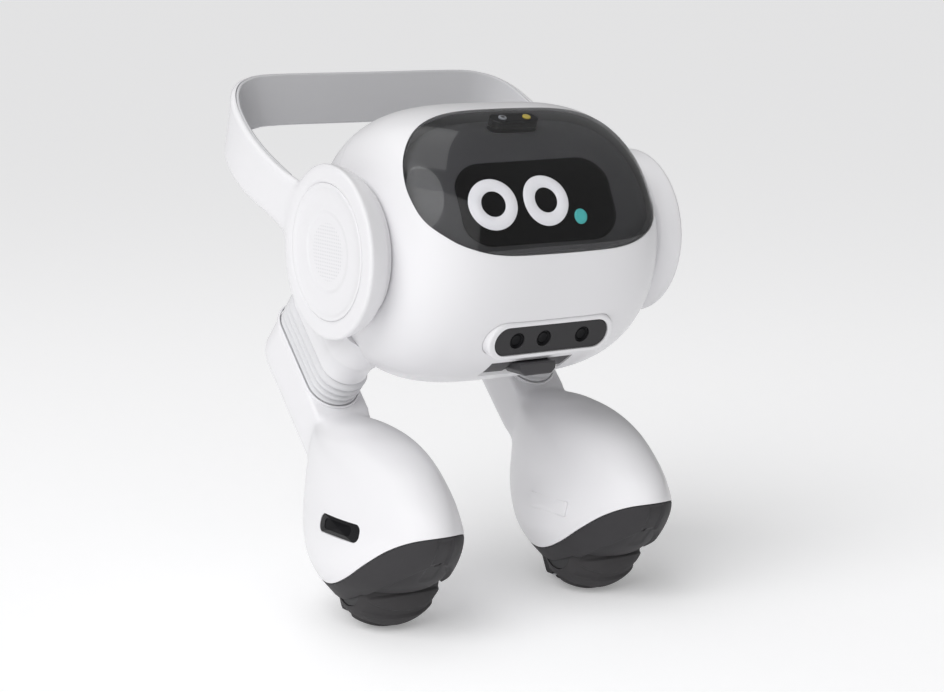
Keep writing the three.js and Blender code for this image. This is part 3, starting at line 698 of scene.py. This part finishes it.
def flank(name, side, face, pts, off1, off0, edge=0.0, steps=(0.2, 0.4, 0.6, 0.8), skin=None):
    """Patch on the foot's flank: pts is its outline as (y, z); face +1 outer, -1 inner; off in metres outside the foot skin."""
    pts = np.array(pts, float)
    c = pts.mean(0)

    def S(y, z, off):
        hit = skin.ray_cast(Vector(T(side * (FOOT_X + face * 90), y, z)), Vector((-side * face, 0, 0)))[0]
        x = abs(hit.x / K - side * FOOT_X) + off / K
        return T(side * (FOOT_X + face * x), y, z)
    dirs = (pts - c)
    dirs = dirs / np.linalg.norm(dirs, axis=1)[:, None]
    loops = [[S(*(c + (p - c) * k), off1) for p in pts] for k in steps]
    if edge > 0:
        for f in np.linspace(0, math.pi / 2, 5):
            q = pts - dirs * (edge / K) * (1 - math.sin(f))
            loops.append([S(*p, off1 - edge * (1 - math.cos(f))) for p in q])
    else:
        loops.append([S(*p, off1) for p in pts])
    loops.append([S(*p, off0) for p in pts])
    loops += [[S(*(c + (p - c) * k), off0) for p in pts] for k in steps[::-1]]
    return rings(name, loops, S(*c, off1), S(*c, off0))


def pill_outline(yc, zc, L, H, n=20, r=None):
    r = H if r is None else r
    out = []
    for sx, sy, a0 in ((1, 1, 0), (-1, 1, 90), (-1, -1, 180), (1, -1, 270)):
        for a in np.linspace(a0, a0 + 90, n):
            out.append((yc + sx * (L - r) + r * math.cos(math.radians(a)), zc + sy * (H - r) + r * math.sin(math.radians(a))))
    return out


# ================================================================= build: body
front = drum("body_front")
front = boolean(front, visor_patch("c", 8 * MM, -11 * MM, GAP, n=220), "DIFFERENCE")
front = boolean(front, chin_pill("c", CHIN["W"] + GAP / K, CHIN["H"] + GAP / K, -30, CHIN["D"] + 1), "DIFFERENCE")
front = boolean(front, box(-42.35, 42.35, -92, -50, -111.35, -95.15), "DIFFERENCE")
rear = drum("body_rear")
for s in (-1, 1):
    hole = prism("c", s, [(40, 13, -26, 26), (150, 13, -26, 26)], 40)
    front = boolean(front, hole, "DIFFERENCE", keep=True)
    rear = boolean(rear, hole, "DIFFERENCE")
front = boolean(front, box(-400, 400, -400, SEAM_Y - 0.18, -400, 400), "INTERSECT")
rear = boolean(rear, box(-400, 400, SEAM_Y + 0.18, 400, -400, 400), "INTERSECT")
for o, nm in ((front, "body_front_shell"), (rear, "body_rear_shell")):
    o.data.shade_smooth()
    o.data.set_sharp_from_angle(angle=math.radians(34))
    analytic_normals(o)
    done(o, white, "body", [nm])

# ---- face: smoked glass over a dark tray, with the display in it
glass = visor_patch("face_glass", 0.4 * MM, -1.8 * MM, 0, n=260, edge=0.5 * MM)
pod_c = np.array([-3.0, -43.6, 104.6])
POD_OUT = np.array([0, -math.cos(1.166), math.sin(1.166)])
POD_UP = np.array([0, math.sin(1.166), math.cos(1.166)])


def pod_pill(name, w, h, d0, d1, r=0.0, dx=0.0, n=24):
    def loop(d, g):
        out = []
        for s in (1, -1):
            for a in np.linspace(-math.pi / 2, math.pi / 2, n):
                out.append(T(*(pod_c + POD_OUT * d + POD_UP * s * (h - g) * math.sin(a) + np.array([dx + s * (w - h) + s * (h - g) * math.cos(a), 0, 0]))))
        return out
    loops = [loop(d0, 0)]
    if r > 0:
        for f in np.linspace(math.pi / 2, 0, 6):
            loops.append(loop(d1 - r + r * math.cos(f), r - r * math.sin(f)))
        loops.append(loop(d1, r + (h - r) * 0.5))
    else:
        loops.append(loop(d1, 0))
    return rings(name, loops)


glass = boolean(glass, pod_pill("c", 24.35, 7.55, -30, 30), "DIFFERENCE")
glass.data.shade_smooth()
glass.data.set_sharp_from_angle(angle=math.radians(30))
analytic_normals(glass, off=0.4 * MM)
analytic_normals(glass, off=-1.8 * MM, sign=-1)
tray = visor_patch("face_tray", -2.2 * MM, -9.9 * MM, -0.1 * MM, n=220)
tray = boolean(tray, visor_patch("c", 2 * MM, -9.1 * MM, -1.3 * MM, n=220), "DIFFERENCE")
tray = boolean(tray, pod_pill("c", 24.35, 7.55, -30, 30), "DIFFERENCE")
soften(tray, 34)
DISP = dict(xc=-12.0, hx=76.4, p0=5.6, p1=44.2)
screen = panel("face_display_panel", DISP["xc"], DISP["hx"], DISP["p0"], DISP["p1"], -7.6 * MM, -9.3 * MM, corner=26)


def ring_on(name, x0, phi0, ro, ri, o1=-7.48 * MM, o0=-7.56 * MM, n=72):
    r0 = bodyR(x0) * K + o1

    def loop(R, off):
        return [P(x0 + R * math.cos(t) / K, phi0 + math.degrees(R * math.sin(t) / r0), off) for t in np.linspace(0, 2 * math.pi, n, endpoint=False)]
    if ri > 0:
        m = (ro + ri) / 2
        return rings(name, [loop(ri, o0), loop(ri, o1), loop(m, o1), loop(ro, o1), loop(ro, o0), loop(m, o0)], closed=True)
    return rings(name, [loop(ro * 0.5, o1), loop(ro, o1), loop(ro, o0), loop(ro * 0.5, o0)], P(x0, phi0, o1), P(x0, phi0, o0))


done(glass, smoked, "body", ["face_visor"])
done(tray, tray_m, "body", [])
done(screen, screen_m, "body", ["face_display"])
done(ring_on("display_ring_right", -59.5, 24.1, 19.1 * MM, 9.5 * MM), eye_white, "body", [])
done(ring_on("display_ring_left", -7.5, 24.2, 19.1 * MM, 9.5 * MM), eye_white, "body", [])
done(ring_on("display_dot", 25.0, 16.0, 5.6 * MM, 0), dot_teal, "body", [])

# ---- sensor pod at the top of the visor
bez = pod_pill("top_sensor_window", 24, 7.2, 0, 7, r=1.2)
LENS_C = np.array([-3.0, -45.0, 108.0]) + POD_OUT * 4.5
for dx in (-12, 13):
    bez = boolean(bez, axis_lathe("c", LENS_C + [dx, 0, 0], POD_OUT, [(-12, 0), (-12, 4.1), (6, 4.1), (6, 0)]), "DIFFERENCE")
soften(bez, 34)
done(bez, black2, "body", ["top_sensor_bezel"])
done(axis_lathe("top_camera_glass", LENS_C + [-12, 0, 0], POD_OUT, crown(3.8, 6, 0.8)), lensm, "body", ["top_camera_lens"])
done(axis_lathe("top_camera_pupil", LENS_C + [-12, 0, 0] + POD_OUT * 0.02, POD_OUT, [(0.12, 0), (0.12, 1.8), (-1, 1.8), (-1, 0)]), black, "body", [])
done(axis_lathe("top_light_window", LENS_C + [13, 0, 0], POD_OUT, crown(3.8, 6, 0.8)), amber, "body", ["top_light_sensor"])

# ---- chin boss with the depth camera strip
boss = chin_pill("chin_boss", CHIN["W"], CHIN["H"], 0, CHIN["D"], r=2.6)
boss = boolean(boss, chin_pill("c", 58.5 + GAP / K, 13 + GAP / K, -30, CHIN["D"] + 8), "DIFFERENCE")
soften(boss, 34)
done(boss, white, "body", ["chin_housing"])
strip = chin_pill("depth_camera_strip", 58.5, 13, 1, 10, r=1.0)
CT = CHIN["TILT"]
CH_AX = np.array([0, math.cos(CT), -math.sin(CT)])
for i, (nm, x) in enumerate((("right", -35.5), ("middle", -8.0), ("left", 32.0))):
    c = np.array([x, CHIN["Y"], CHIN["Z"]]) + CH_AX * 1.0
    strip = boolean(strip, axis_lathe("c", c, -CH_AX, [(-12, 0), (-12, 7.35), (0.0, 7.35), (0.3, 7.6), (6, 7.6), (6, 0)]), "DIFFERENCE")
    lens = axis_lathe("depth_window_" + nm, c, -CH_AX, [(-2.2, 0), (-2.1, 2.0), (-1.9, 3.6), (-1.7, 4.6), (-2.6, 5.0), (-2.6, 5.4), (-1.2, 5.9), (-1.0, 6.5), (-1.2, 7.0), (-6, 7.0), (-6, 0)], 64)
    done(lens, pupil, "body", ["depth_lens_" + nm])
soften(strip, 34)
done(strip, bar, "body", ["depth_camera_bar"])

plate = box(-42, 42, -92, -55, -111, -95.5, "chin_recess_panel")
plate = boolean(plate, turn("c", [(-133, 0)] + drum_profile(-1.2 * MM, 41) + [(133, 0)], 160, BODY["Y"], BODY["Z"]), "INTERSECT")
plate = boolean(plate, box(-18.85, 18.85, -200, 0, -200, -96.15), "DIFFERENCE")
soften(plate, 30, 0.4 * MM)
done(plate, dock, "body", ["chin_recess_plate"])
blk = [(-18.5, -96.5), (18.5, -96.5), (18.5, -103), (14, -107.5), (-14, -107.5), (-18.5, -103)]
v = [T(x, y, z) for y in (-83, -56) for x, z in blk]
f = [tuple(range(6)), tuple(range(11, 5, -1))] + [(i, (i + 1) % 6, 6 + (i + 1) % 6, 6 + i) for i in range(6)]
block = obj_from("chin_contact_block", v, f, False)
soften(block, 25, 1.0 * MM, 3)
done(block, dock, "body", ["chin_block"])

# ---- ears and handle: two ring mouldings flowing into one band
parts = []
ring_prof = fillet([(133.6, 50), (133.6, 61), (138.6, 61), (141.6, 68), (150, 72.6), (160.6, 75), (162.5, 73.6), (162.7, 71), (162.7, 59), (158.5, 58), (158.5, 50)], [1, 1, 1, 2, 6, 5, 4, 3, .5, .8, 1], 5)
for s in (-1, 1):
    parts.append(turn("ear", [(s * x, r) for x, r in ring_prof], 200))
ts = list(np.linspace(0.35, 9, 92))
allt = ts + [18 - t for t in ts[::-1][1:]]


def flare(t):
    q = t if t < 9 else 18 - t
    return max(0.0, 1 - (q - 0.35) / 2.0) ** 2


loops = []
for t in allt:
    C, B, Nn, hb = band_section(t)
    w = hb + 11.0 * flare(t)
    th = 4.5
    l = []
    for q in range(4):
        for i in range(7):
            fa = math.radians(q * 90 + i * 15)
            b = (1 if q in (0, 3) else -1) * (w - 4) + 4 * math.cos(fa)
            m = (1 if q < 2 else -1) * (th - 4) + 4 * math.sin(fa)
            l.append(T(*(C + B * b + Nn * m)))
    loops.append(l)
parts.append(rings("band", loops))
hand = boolean(boolean(parts[2], parts[0], "UNION"), parts[1], "UNION")
hand.name = "handle_and_ear_rings"
remesh(hand, 1.3 * MM, 0)
co = np.array([v.co for v in hand.data.vertices])
vg = hand.vertex_groups.new(name="root")
cc = np.array([T(155, 62, 26), T(-155, 62, 26)])
for i, p in enumerate(co):
    d = min(np.linalg.norm(p - c) for c in cc)
    vg.add([i], float(np.clip(1.7 - d / 0.036, 0.0, 1.0)), "REPLACE")
m = hand.modifiers.new("s0", "SMOOTH")
m.factor = 0.5
m.iterations = 3
m = hand.modifiers.new("s1", "SMOOTH")
m.factor = 0.5
m.iterations = 60
m.vertex_group = "root"
bake(hand)
lo_, hi_ = (np.array([float(q) for q in p_]) for p_ in cad_box)
co = np.clip(np.array([v.co for v in hand.data.vertices]), lo_ + 0.00006, hi_ - 0.00006)
hand.data.vertices.foreach_set("co", co.ravel())
hand.data.update()
inner_t = [t for t in allt if 1.5 <= t <= 16.5]
hand = boolean(hand, band_skin("c", inner_t, 1.0 - GAP / K, 9, 0.7 - GAP / K - 4, 0.5), "DIFFERENCE")
hand.data.shade_smooth()
hand.data.set_sharp_from_angle(angle=math.radians(40))
done(hand, white, "body", ["handle_shell", "ear_housing_right", "ear_housing_left"])
# Inner handle cover in the grey material, which is painted shade for the inside of the handle loop.
grip = band_skin("handle_grip_cover", inner_t, 1.0, 4.55, 0.35, 1.75)
done(soften(grip, 40), handle_shade_grey, "body", ["handle_inner_cover"])
for s, tag in ((-1, "right"), (1, "left")):
    prof = [(156, 0), (156, 44), (159, 49), (159, 58.5), (162.0, 58.6), (162.45, 58.2), (162.5, 57.5), (162.35, 55.6), (161.9, 54.3), (161.5, 53), (161.45, 44), (161.4, 36), (161.35, 34.6), (160.85, 33.4), (160.75, 31), (160.6, 15), (160.6, 0)]
    cover = turn("ear_grille_" + tag, [(s * x, r) for x, r in prof], 160)
    cover.data.shade_smooth()
    cover.data.set_sharp_from_angle(angle=math.radians(50))
    done(cover, ear_m, "body", ["ear_cover_" + tag])

# ================================================================= build: legs
rib = [[124.35, 19.5], [126, 22.4], [128.5, 24.6], [131, 24.6], [132.6, 21.6], [134.2, 21.6], [136, 24.4], [138.6, 24.4], [140.2, 21.4], [141.8, 21.4], [143.6, 24.2], [146.2, 24.2], [147.8, 21.2], [149.4, 21.2], [151, 24], [153.2, 24], [154.2, 21]]
ribd = np.linspace(rib[0][0], rib[-1][0], 66)
for s, tag in ((-1, "right"), (1, "left")):
    leg_b = "leg_" + tag
    fl_ = [(d, 23 + q, -56 - q, 56 + q) for d, q in ((d, 4.5 * min(1.0, max(0.0, (117 - d) / 22.0)) ** 2) for d in (66, 80, 90, 95, 98, 101, 104, 107, 110, 113, 117))]
    tube = prism("hip_cuff_" + tag, s, fl_ + [(122.6, 23, -56, 56), (123.4, 22.7, -55.7, 55.7), (123.8, 22.2, -55.2, 55.2), (124, 21.4, -54.4, 54.4)], 80)
    tube = boolean(tube, prism("c", s, [(36, 19, -52, 52), (130, 19, -52, 52)], 64), "DIFFERENCE")
    tube = boolean(tube, turn("c", [(-133, 0)] + drum_profile(-0.6 * MM, 41) + [(133, 0)], 160, BODY["Y"], BODY["Z"]), "DIFFERENCE")
    soften(tube, 34)
    done(tube, white, "body", ["hip_housing_" + tag])
    lv = []
    for d in ribd:
        w = table(rib, d)[1]
        lv.append((d, w, -56 - (w - 23), 56 + (w - 23)))
    boot = prism("hip_bellows_" + tag, s, lv, 80)
    boot = boolean(boot, prism("c", s, [(110, 17.5, -50.5, 50.5), (170, 17.5, -50.5, 50.5)], 64), "DIFFERENCE")
    boot.data.shade_smooth()
    boot.data.set_sharp_from_angle(angle=math.radians(50))
    give(boot, bootm)
    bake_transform(boot)
    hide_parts("hip_boot_" + tag)

    # raised lip round the bellows, on the leg
    lip = rings("hip_lip_" + tag, [stadium(s, d, w, -56 - (w - 23), 56 + (w - 23), 96) for d, w in ((156.5, 25.0), (154.0, 25.0), (153.2, 25.3), (152.9, 25.9), (153.2, 26.6), (154.0, 27.0), (156.5, 27.0))], closed=True)
    lip.data.shade_smooth()
    lip.data.set_sharp_from_angle(angle=math.radians(60))
    done(lip, white, leg_b, [])

    # leg moulding: slab flowing into the foot
    slv = [(155, 2), (155.5, 1.1), (156.3, 0.5), (157.5, 0.12), (161, 0), (176, 0), (190, 0.0), (196, 0.2), (199.5, 1.2), (202.3, 3.0), (204.4, 5.7), (205.5, 8.0), (206, 11)]
    slab = prism("slab", s, [(d, 27.5 - g, -57 + g, 100 - g) for d, g in slv], 96)
    leg = boolean(slab, foot_skin("foot", s), "UNION")
    leg.name = "leg_moulding_" + tag
    remesh(leg, 1.25 * MM, 0)
    co = np.array([v.co for v in leg.data.vertices])
    vg = leg.vertex_groups.new(name="neck")
    zz = co[:, 2] / K - 329.6
    yy = (co[:, 1] - Y0) / K
    wgt = np.clip((zz + 222) / 26, 0, 1) * np.clip((-84 - zz) / 30, 0, 1)
    wgt *= np.clip(np.maximum((N * (yy - zz) - 158) / 8, (-N * (yy + zz) - 62) / 12), 0, 1)
    for i, w in enumerate(wgt):
        vg.add([i], float(w), "REPLACE")
    m = leg.modifiers.new("s0", "SMOOTH")
    m.factor = 0.5
    m.iterations = 4
    m = leg.modifiers.new("s1", "SMOOTH")
    m.factor = 0.5
    m.iterations = 150
    m.vertex_group = "neck"
    bake(leg)
    sole_o = leg.copy()
    sole_o.data = leg.data.copy()
    sole_o.name = "sole_" + tag
    bpy.context.scene.collection.objects.link(sole_o)
    leg = boolean(leg, under_seam("c", 0.15 * MM), "DIFFERENCE")
    skin = BVHTree.FromPolygons([v.co.copy() for v in leg.data.vertices], [tuple(p.vertices) for p in leg.data.polygons])
    wo = pill_outline(-19.5, -235, 29.5, 7.5, r=6.2)
    leg = boolean(leg, flank("c", s, 1, pill_outline(-19.5, -235, 29.8, 7.8, r=6.5), 6 * MM, -2.6 * MM, skin=skin), "DIFFERENCE")
    leg.data.shade_smooth()
    leg.data.set_sharp_from_angle(angle=math.radians(40))
    done(leg, white, leg_b, ["leg_shell_" + tag])
    win = flank("side_window_" + tag, s, 1, wo, -0.5 * MM, -2.4 * MM, edge=0.5 * MM, skin=skin)
    done(soften(win, 50), pupil, leg_b, ["side_sensor_window_" + tag])
    lens = flank("side_window_frame_" + tag, s, 1, wo, -0.15 * MM, -2.2 * MM, edge=0.4 * MM, skin=skin)
    lens = boolean(lens, flank("c", s, 1, pill_outline(-18.0, -234.6, 20, 4.4, r=3.6), 3 * MM, -3 * MM, skin=skin), "DIFFERENCE")
    done(soften(lens, 40), black2, leg_b, [])
    tile = flank("inner_badge_plate_" + tag, s, -1, pill_outline(-16, -243.5, 27, 6.6, r=1.6), 1.3 * MM, -0.6 * MM, edge=0.4 * MM, skin=skin)
    done(tile, white, leg_b, ["inner_cover_" + tag])

    # dark sole: inset lower flank, toe groove, wheel arch, roller seat
    sole_o = boolean(sole_o, under_seam("c", -0.15 * MM), "INTERSECT")
    sole_o = remesh(sole_o, 0.9 * MM, 0)
    me = sole_o.data
    co = np.array([v.co for v in me.vertices])
    nn = np.array([v.normal for v in me.vertices])
    ux, uy, uz = s * co[:, 0] / K - 112, (co[:, 1] - Y0) / K, (co[:, 2] - Z0) / K + 0.0

    def ss(v):
        v = np.clip(v, 0, 1)
        return v * v * (3 - 2 * v)
    line = -299.5 + (-24 - uy) * 0.565 - 3.0 * np.sin(np.clip((-24 - uy) / 77, 0, 1) * math.pi)
    flankd = ss((line - uz) / 2.2) * ss((-8 - uy) / 14)
    toe = ss((9.0 - np.abs(ux + 0.5)) / 2.0) * ss((-80 - uy) / 6) * ss((-231 - uz) / 2.5)
    skin = ss((table(seam, 0)[1] * 0 - 224 - uz) / 1.0)
    d = (3.0 * flankd + 1.6 * toe * (1 - 0.5 * flankd)) * MM * skin
    topface = nn[:, 2] > 0.5
    d[topface] = 0
    co2 = co - nn * d[:, None]
    me.vertices.foreach_set("co", co2.ravel())
    me.update()
    wz = -(329.6 - WHEEL["R"])
    wr = lambda x: WHEEL["R"] * math.sqrt(1 - (x / 50.0) ** 2)
    room_p = [(-41.2, 0)] + [(x, wr(x) + 1.5) for x in np.linspace(-41.2, 41.2, 41)] + [(41.2, 0)]
    arch = turn("c", [(s * (WHEEL["X"] + x), r) for x, r in room_p], 160, WHEEL["Y"], wz)
    rz = -(329.6 - ROLLER["R"]) + 0.35 * MM / K
    room = turn("c", [(s * (111 - 13.2), 0), (s * (111 - 13.2), 7.4), (s * (111 + 13.2), 7.4), (s * (111 + 13.2), 0)], 60, ROLLER["Y"], rz)
    wedge = [(16.5, -322), (24.5, -322), (26.5, -320), (36, -301), (16.5, -301)]
    v = [T(s * 111 + x, y, z) for x in (-22, 22) for y, z in wedge]
    f = [tuple(range(5)), tuple(range(9, 4, -1))] + [(i, (i + 1) % 5, 5 + (i + 1) % 5, 5 + i) for i in range(5)]
    seat = obj_from("c", v, f, False)
    sole_o = boolean(sole_o, seat, "UNION")
    sole_o = boolean(sole_o, room, "DIFFERENCE")
    sole_o = boolean(sole_o, arch, "DIFFERENCE")
    sole_o = boolean(sole_o, axis_lathe("c", (s * (112 - 3), -97, -258), (0, 1, 0), [(-14, 0), (-14, 3.0), (5, 3.0), (5, 0)], 32), "DIFFERENCE")
    sole_o.data.shade_smooth()
    sole_o.data.set_sharp_from_angle(angle=math.radians(42))
    done(sole_o, sole, leg_b, ["leg_sole_" + tag])

    # barrel wheel with lens-shaped lugs
    xs = np.concatenate([np.linspace(-40, -39, 3), np.linspace(-38, 38, 77), np.linspace(39, 40, 3)])
    nth = 288
    th = np.linspace(0, 2 * math.pi, nth, endpoint=False)
    lugs = 10
    loops = []
    for x in xs:
        r = 43 * math.sqrt(1 - (x / 50) ** 2)
        e = max(0.0, abs(x) - 35)
        l = []
        for a in th:
            u = (a * lugs / (2 * math.pi)) % 1.0 - 0.5
            half = 0.37 * math.sqrt(max(0.0, 1 - (x / 36.0) ** 2)) + 0.02
            q = (half - abs(u)) / 0.09
            k = min(1.0, max(0.0, q))
            k = k * k * (3 - 2 * k)
            rr = r - 2.3 * (1 - k) - e * e * 0.12
            l.append(T(s * (WHEEL["X"] + x), WHEEL["Y"] + rr * math.cos(a), wz + rr * math.sin(a)))
        loops.append(l)
    for x in (40, -40):
        loops.append([T(s * (WHEEL["X"] + x), WHEEL["Y"] + 20 * math.cos(a), wz + 20 * math.sin(a)) for a in th])
    tire = rings("barrel_tyre_" + tag, loops, closed=True)
    tire.data.shade_smooth()
    tire.data.set_sharp_from_angle(angle=math.radians(40))
    done(tire, tyre, "wheel_" + tag, ["wheel_tyre_" + tag])
    rprof = fillet([(-12, 2.6), (-12, 5.2), (-10.5, 6.2), (10.5, 6.2), (12, 5.2), (12, 2.6)], [0, .8, .8, .8, .8, 0], 4)
    rol = turn("small_roller_" + tag, [(s * (111 + x), r) for x, r in rprof], 64, ROLLER["Y"], rz)
    rol.data.shade_smooth()
    rol.data.set_sharp_from_angle(angle=math.radians(40))
    done(rol, tyre, "roller_" + tag, ["heel_roller_" + tag])

# carried-over inner pieces get their finish
looks = dict(display_bracket=framem, chassis_frame=framem, battery_pack=battery, main_board=board)
for s in ("right", "left"):
    looks.update({"speaker_driver_" + s: framem, "hip_bracket_" + s: alloy, "hip_motor_" + s: alloy, "hip_shaft_" + s: alloy, "hip_fork_" + s: alloy, "wheel_axle_" + s: alloy, "roller_pin_" + s: alloy, "wheel_hub_" + s: framem})
for nm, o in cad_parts.items():
    if not o.hide_render:
        give(o, looks.get(nm, white))

# ================================================================= stage
def light(name, loc, target, size, power, color=(1, 1, 1), size_y=None):
    d = bpy.data.lights.new(name, "AREA")
    d.energy = power
    d.color = color
    d.size = size
    if size_y:
        d.shape = "RECTANGLE"
        d.size_y = size_y
    o = bpy.data.objects.new(name, d)
    o.location = loc
    o.rotation_euler = (Vector(target) - Vector(loc)).to_track_quat("-Z", "Y").to_euler()
    bpy.context.scene.collection.objects.link(o)
    return o


world = bpy.data.worlds.new("studio")
bpy.context.scene.world = world
world.use_nodes = True
wn = world.node_tree
bg = wn.nodes["Background"]
bg.inputs["Color"].default_value = (1, 1, 1, 1)
bg.inputs["Strength"].default_value = 0.21
white_bg = wn.nodes.new("ShaderNodeBackground")
white_bg.inputs["Color"].default_value = (1, 1, 1, 1)
white_bg.inputs["Strength"].default_value = 0.97
lp = wn.nodes.new("ShaderNodeLightPath")
mixs = wn.nodes.new("ShaderNodeMixShader")
wn.links.new(lp.outputs["Is Camera Ray"], mixs.inputs["Fac"])
wn.links.new(bg.outputs["Background"], mixs.inputs[1])
wn.links.new(white_bg.outputs["Background"], mixs.inputs[2])
wn.links.new(mixs.outputs["Shader"], wn.nodes["World Output"].inputs["Surface"])
ka = math.radians(40)
kd = 1.7
light("key", (-math.sin(ka) * kd, -math.cos(ka) * kd, 0.98), (0, 0, 0.30), 3.2, 9, size_y=1.6)
sd = bpy.data.lights.new("sky", "SUN")
sd.energy = 1.95
sd.angle = math.radians(50)
so = bpy.data.objects.new("sky", sd)
so.rotation_euler = Vector((0.70, 0.28, -0.66)).to_track_quat("-Z", "Y").to_euler()
so.visible_glossy = False
bpy.context.scene.collection.objects.link(so)
light("top", (-0.4, 0.35, 1.9), (0, 0, 0.2), 1.6, 6)

fl = bmesh.new()
bmesh.ops.create_grid(fl, x_segments=8, y_segments=8, size=60)
me = bpy.data.meshes.new("floor")
fl.to_mesh(me)
fl.free()
floor = bpy.data.objects.new("floor", me)
floor.location.z = -0.0002
bpy.context.scene.collection.objects.link(floor)
floor_m = mat("floor_paint", (0.90, 0.90, 0.91), 0.7, vary=0.004, wear=0.0, bump=0.0, spec=0.2)
floor_m.node_tree.nodes["Principled BSDF"].inputs["Emission Color"].default_value = (1, 1, 1, 1)
floor_m.node_tree.nodes["Principled BSDF"].inputs["Emission Strength"].default_value = 0.24
give(floor, floor_m)

a, e, r = math.radians(-33.581), math.radians(9.867), math.radians(0.406)
back = Vector((math.sin(a) * math.cos(e), -math.cos(a) * math.cos(e), math.sin(e)))
right = Vector((math.cos(a), math.sin(a), 0))
up = back.cross(right)
R = right * math.cos(r) + up * math.sin(r)
U = -right * math.sin(r) + up * math.cos(r)
cam_d = bpy.data.cameras.new("camera")
cam_d.lens = 83.44
cam_d.sensor_width = 36
cam_d.clip_start = 0.05
cam = bpy.data.objects.new("camera", cam_d)
cam.matrix_world = Matrix(((R.x, U.x, back.x, -0.910746), (R.y, U.y, back.y, -1.393004), (R.z, U.z, back.z, 0.483364), (0, 0, 0, 1)))
bpy.context.scene.collection.objects.link(cam)
bpy.context.scene.camera = cam
bpy.context.scene.view_settings.view_transform = "Standard"
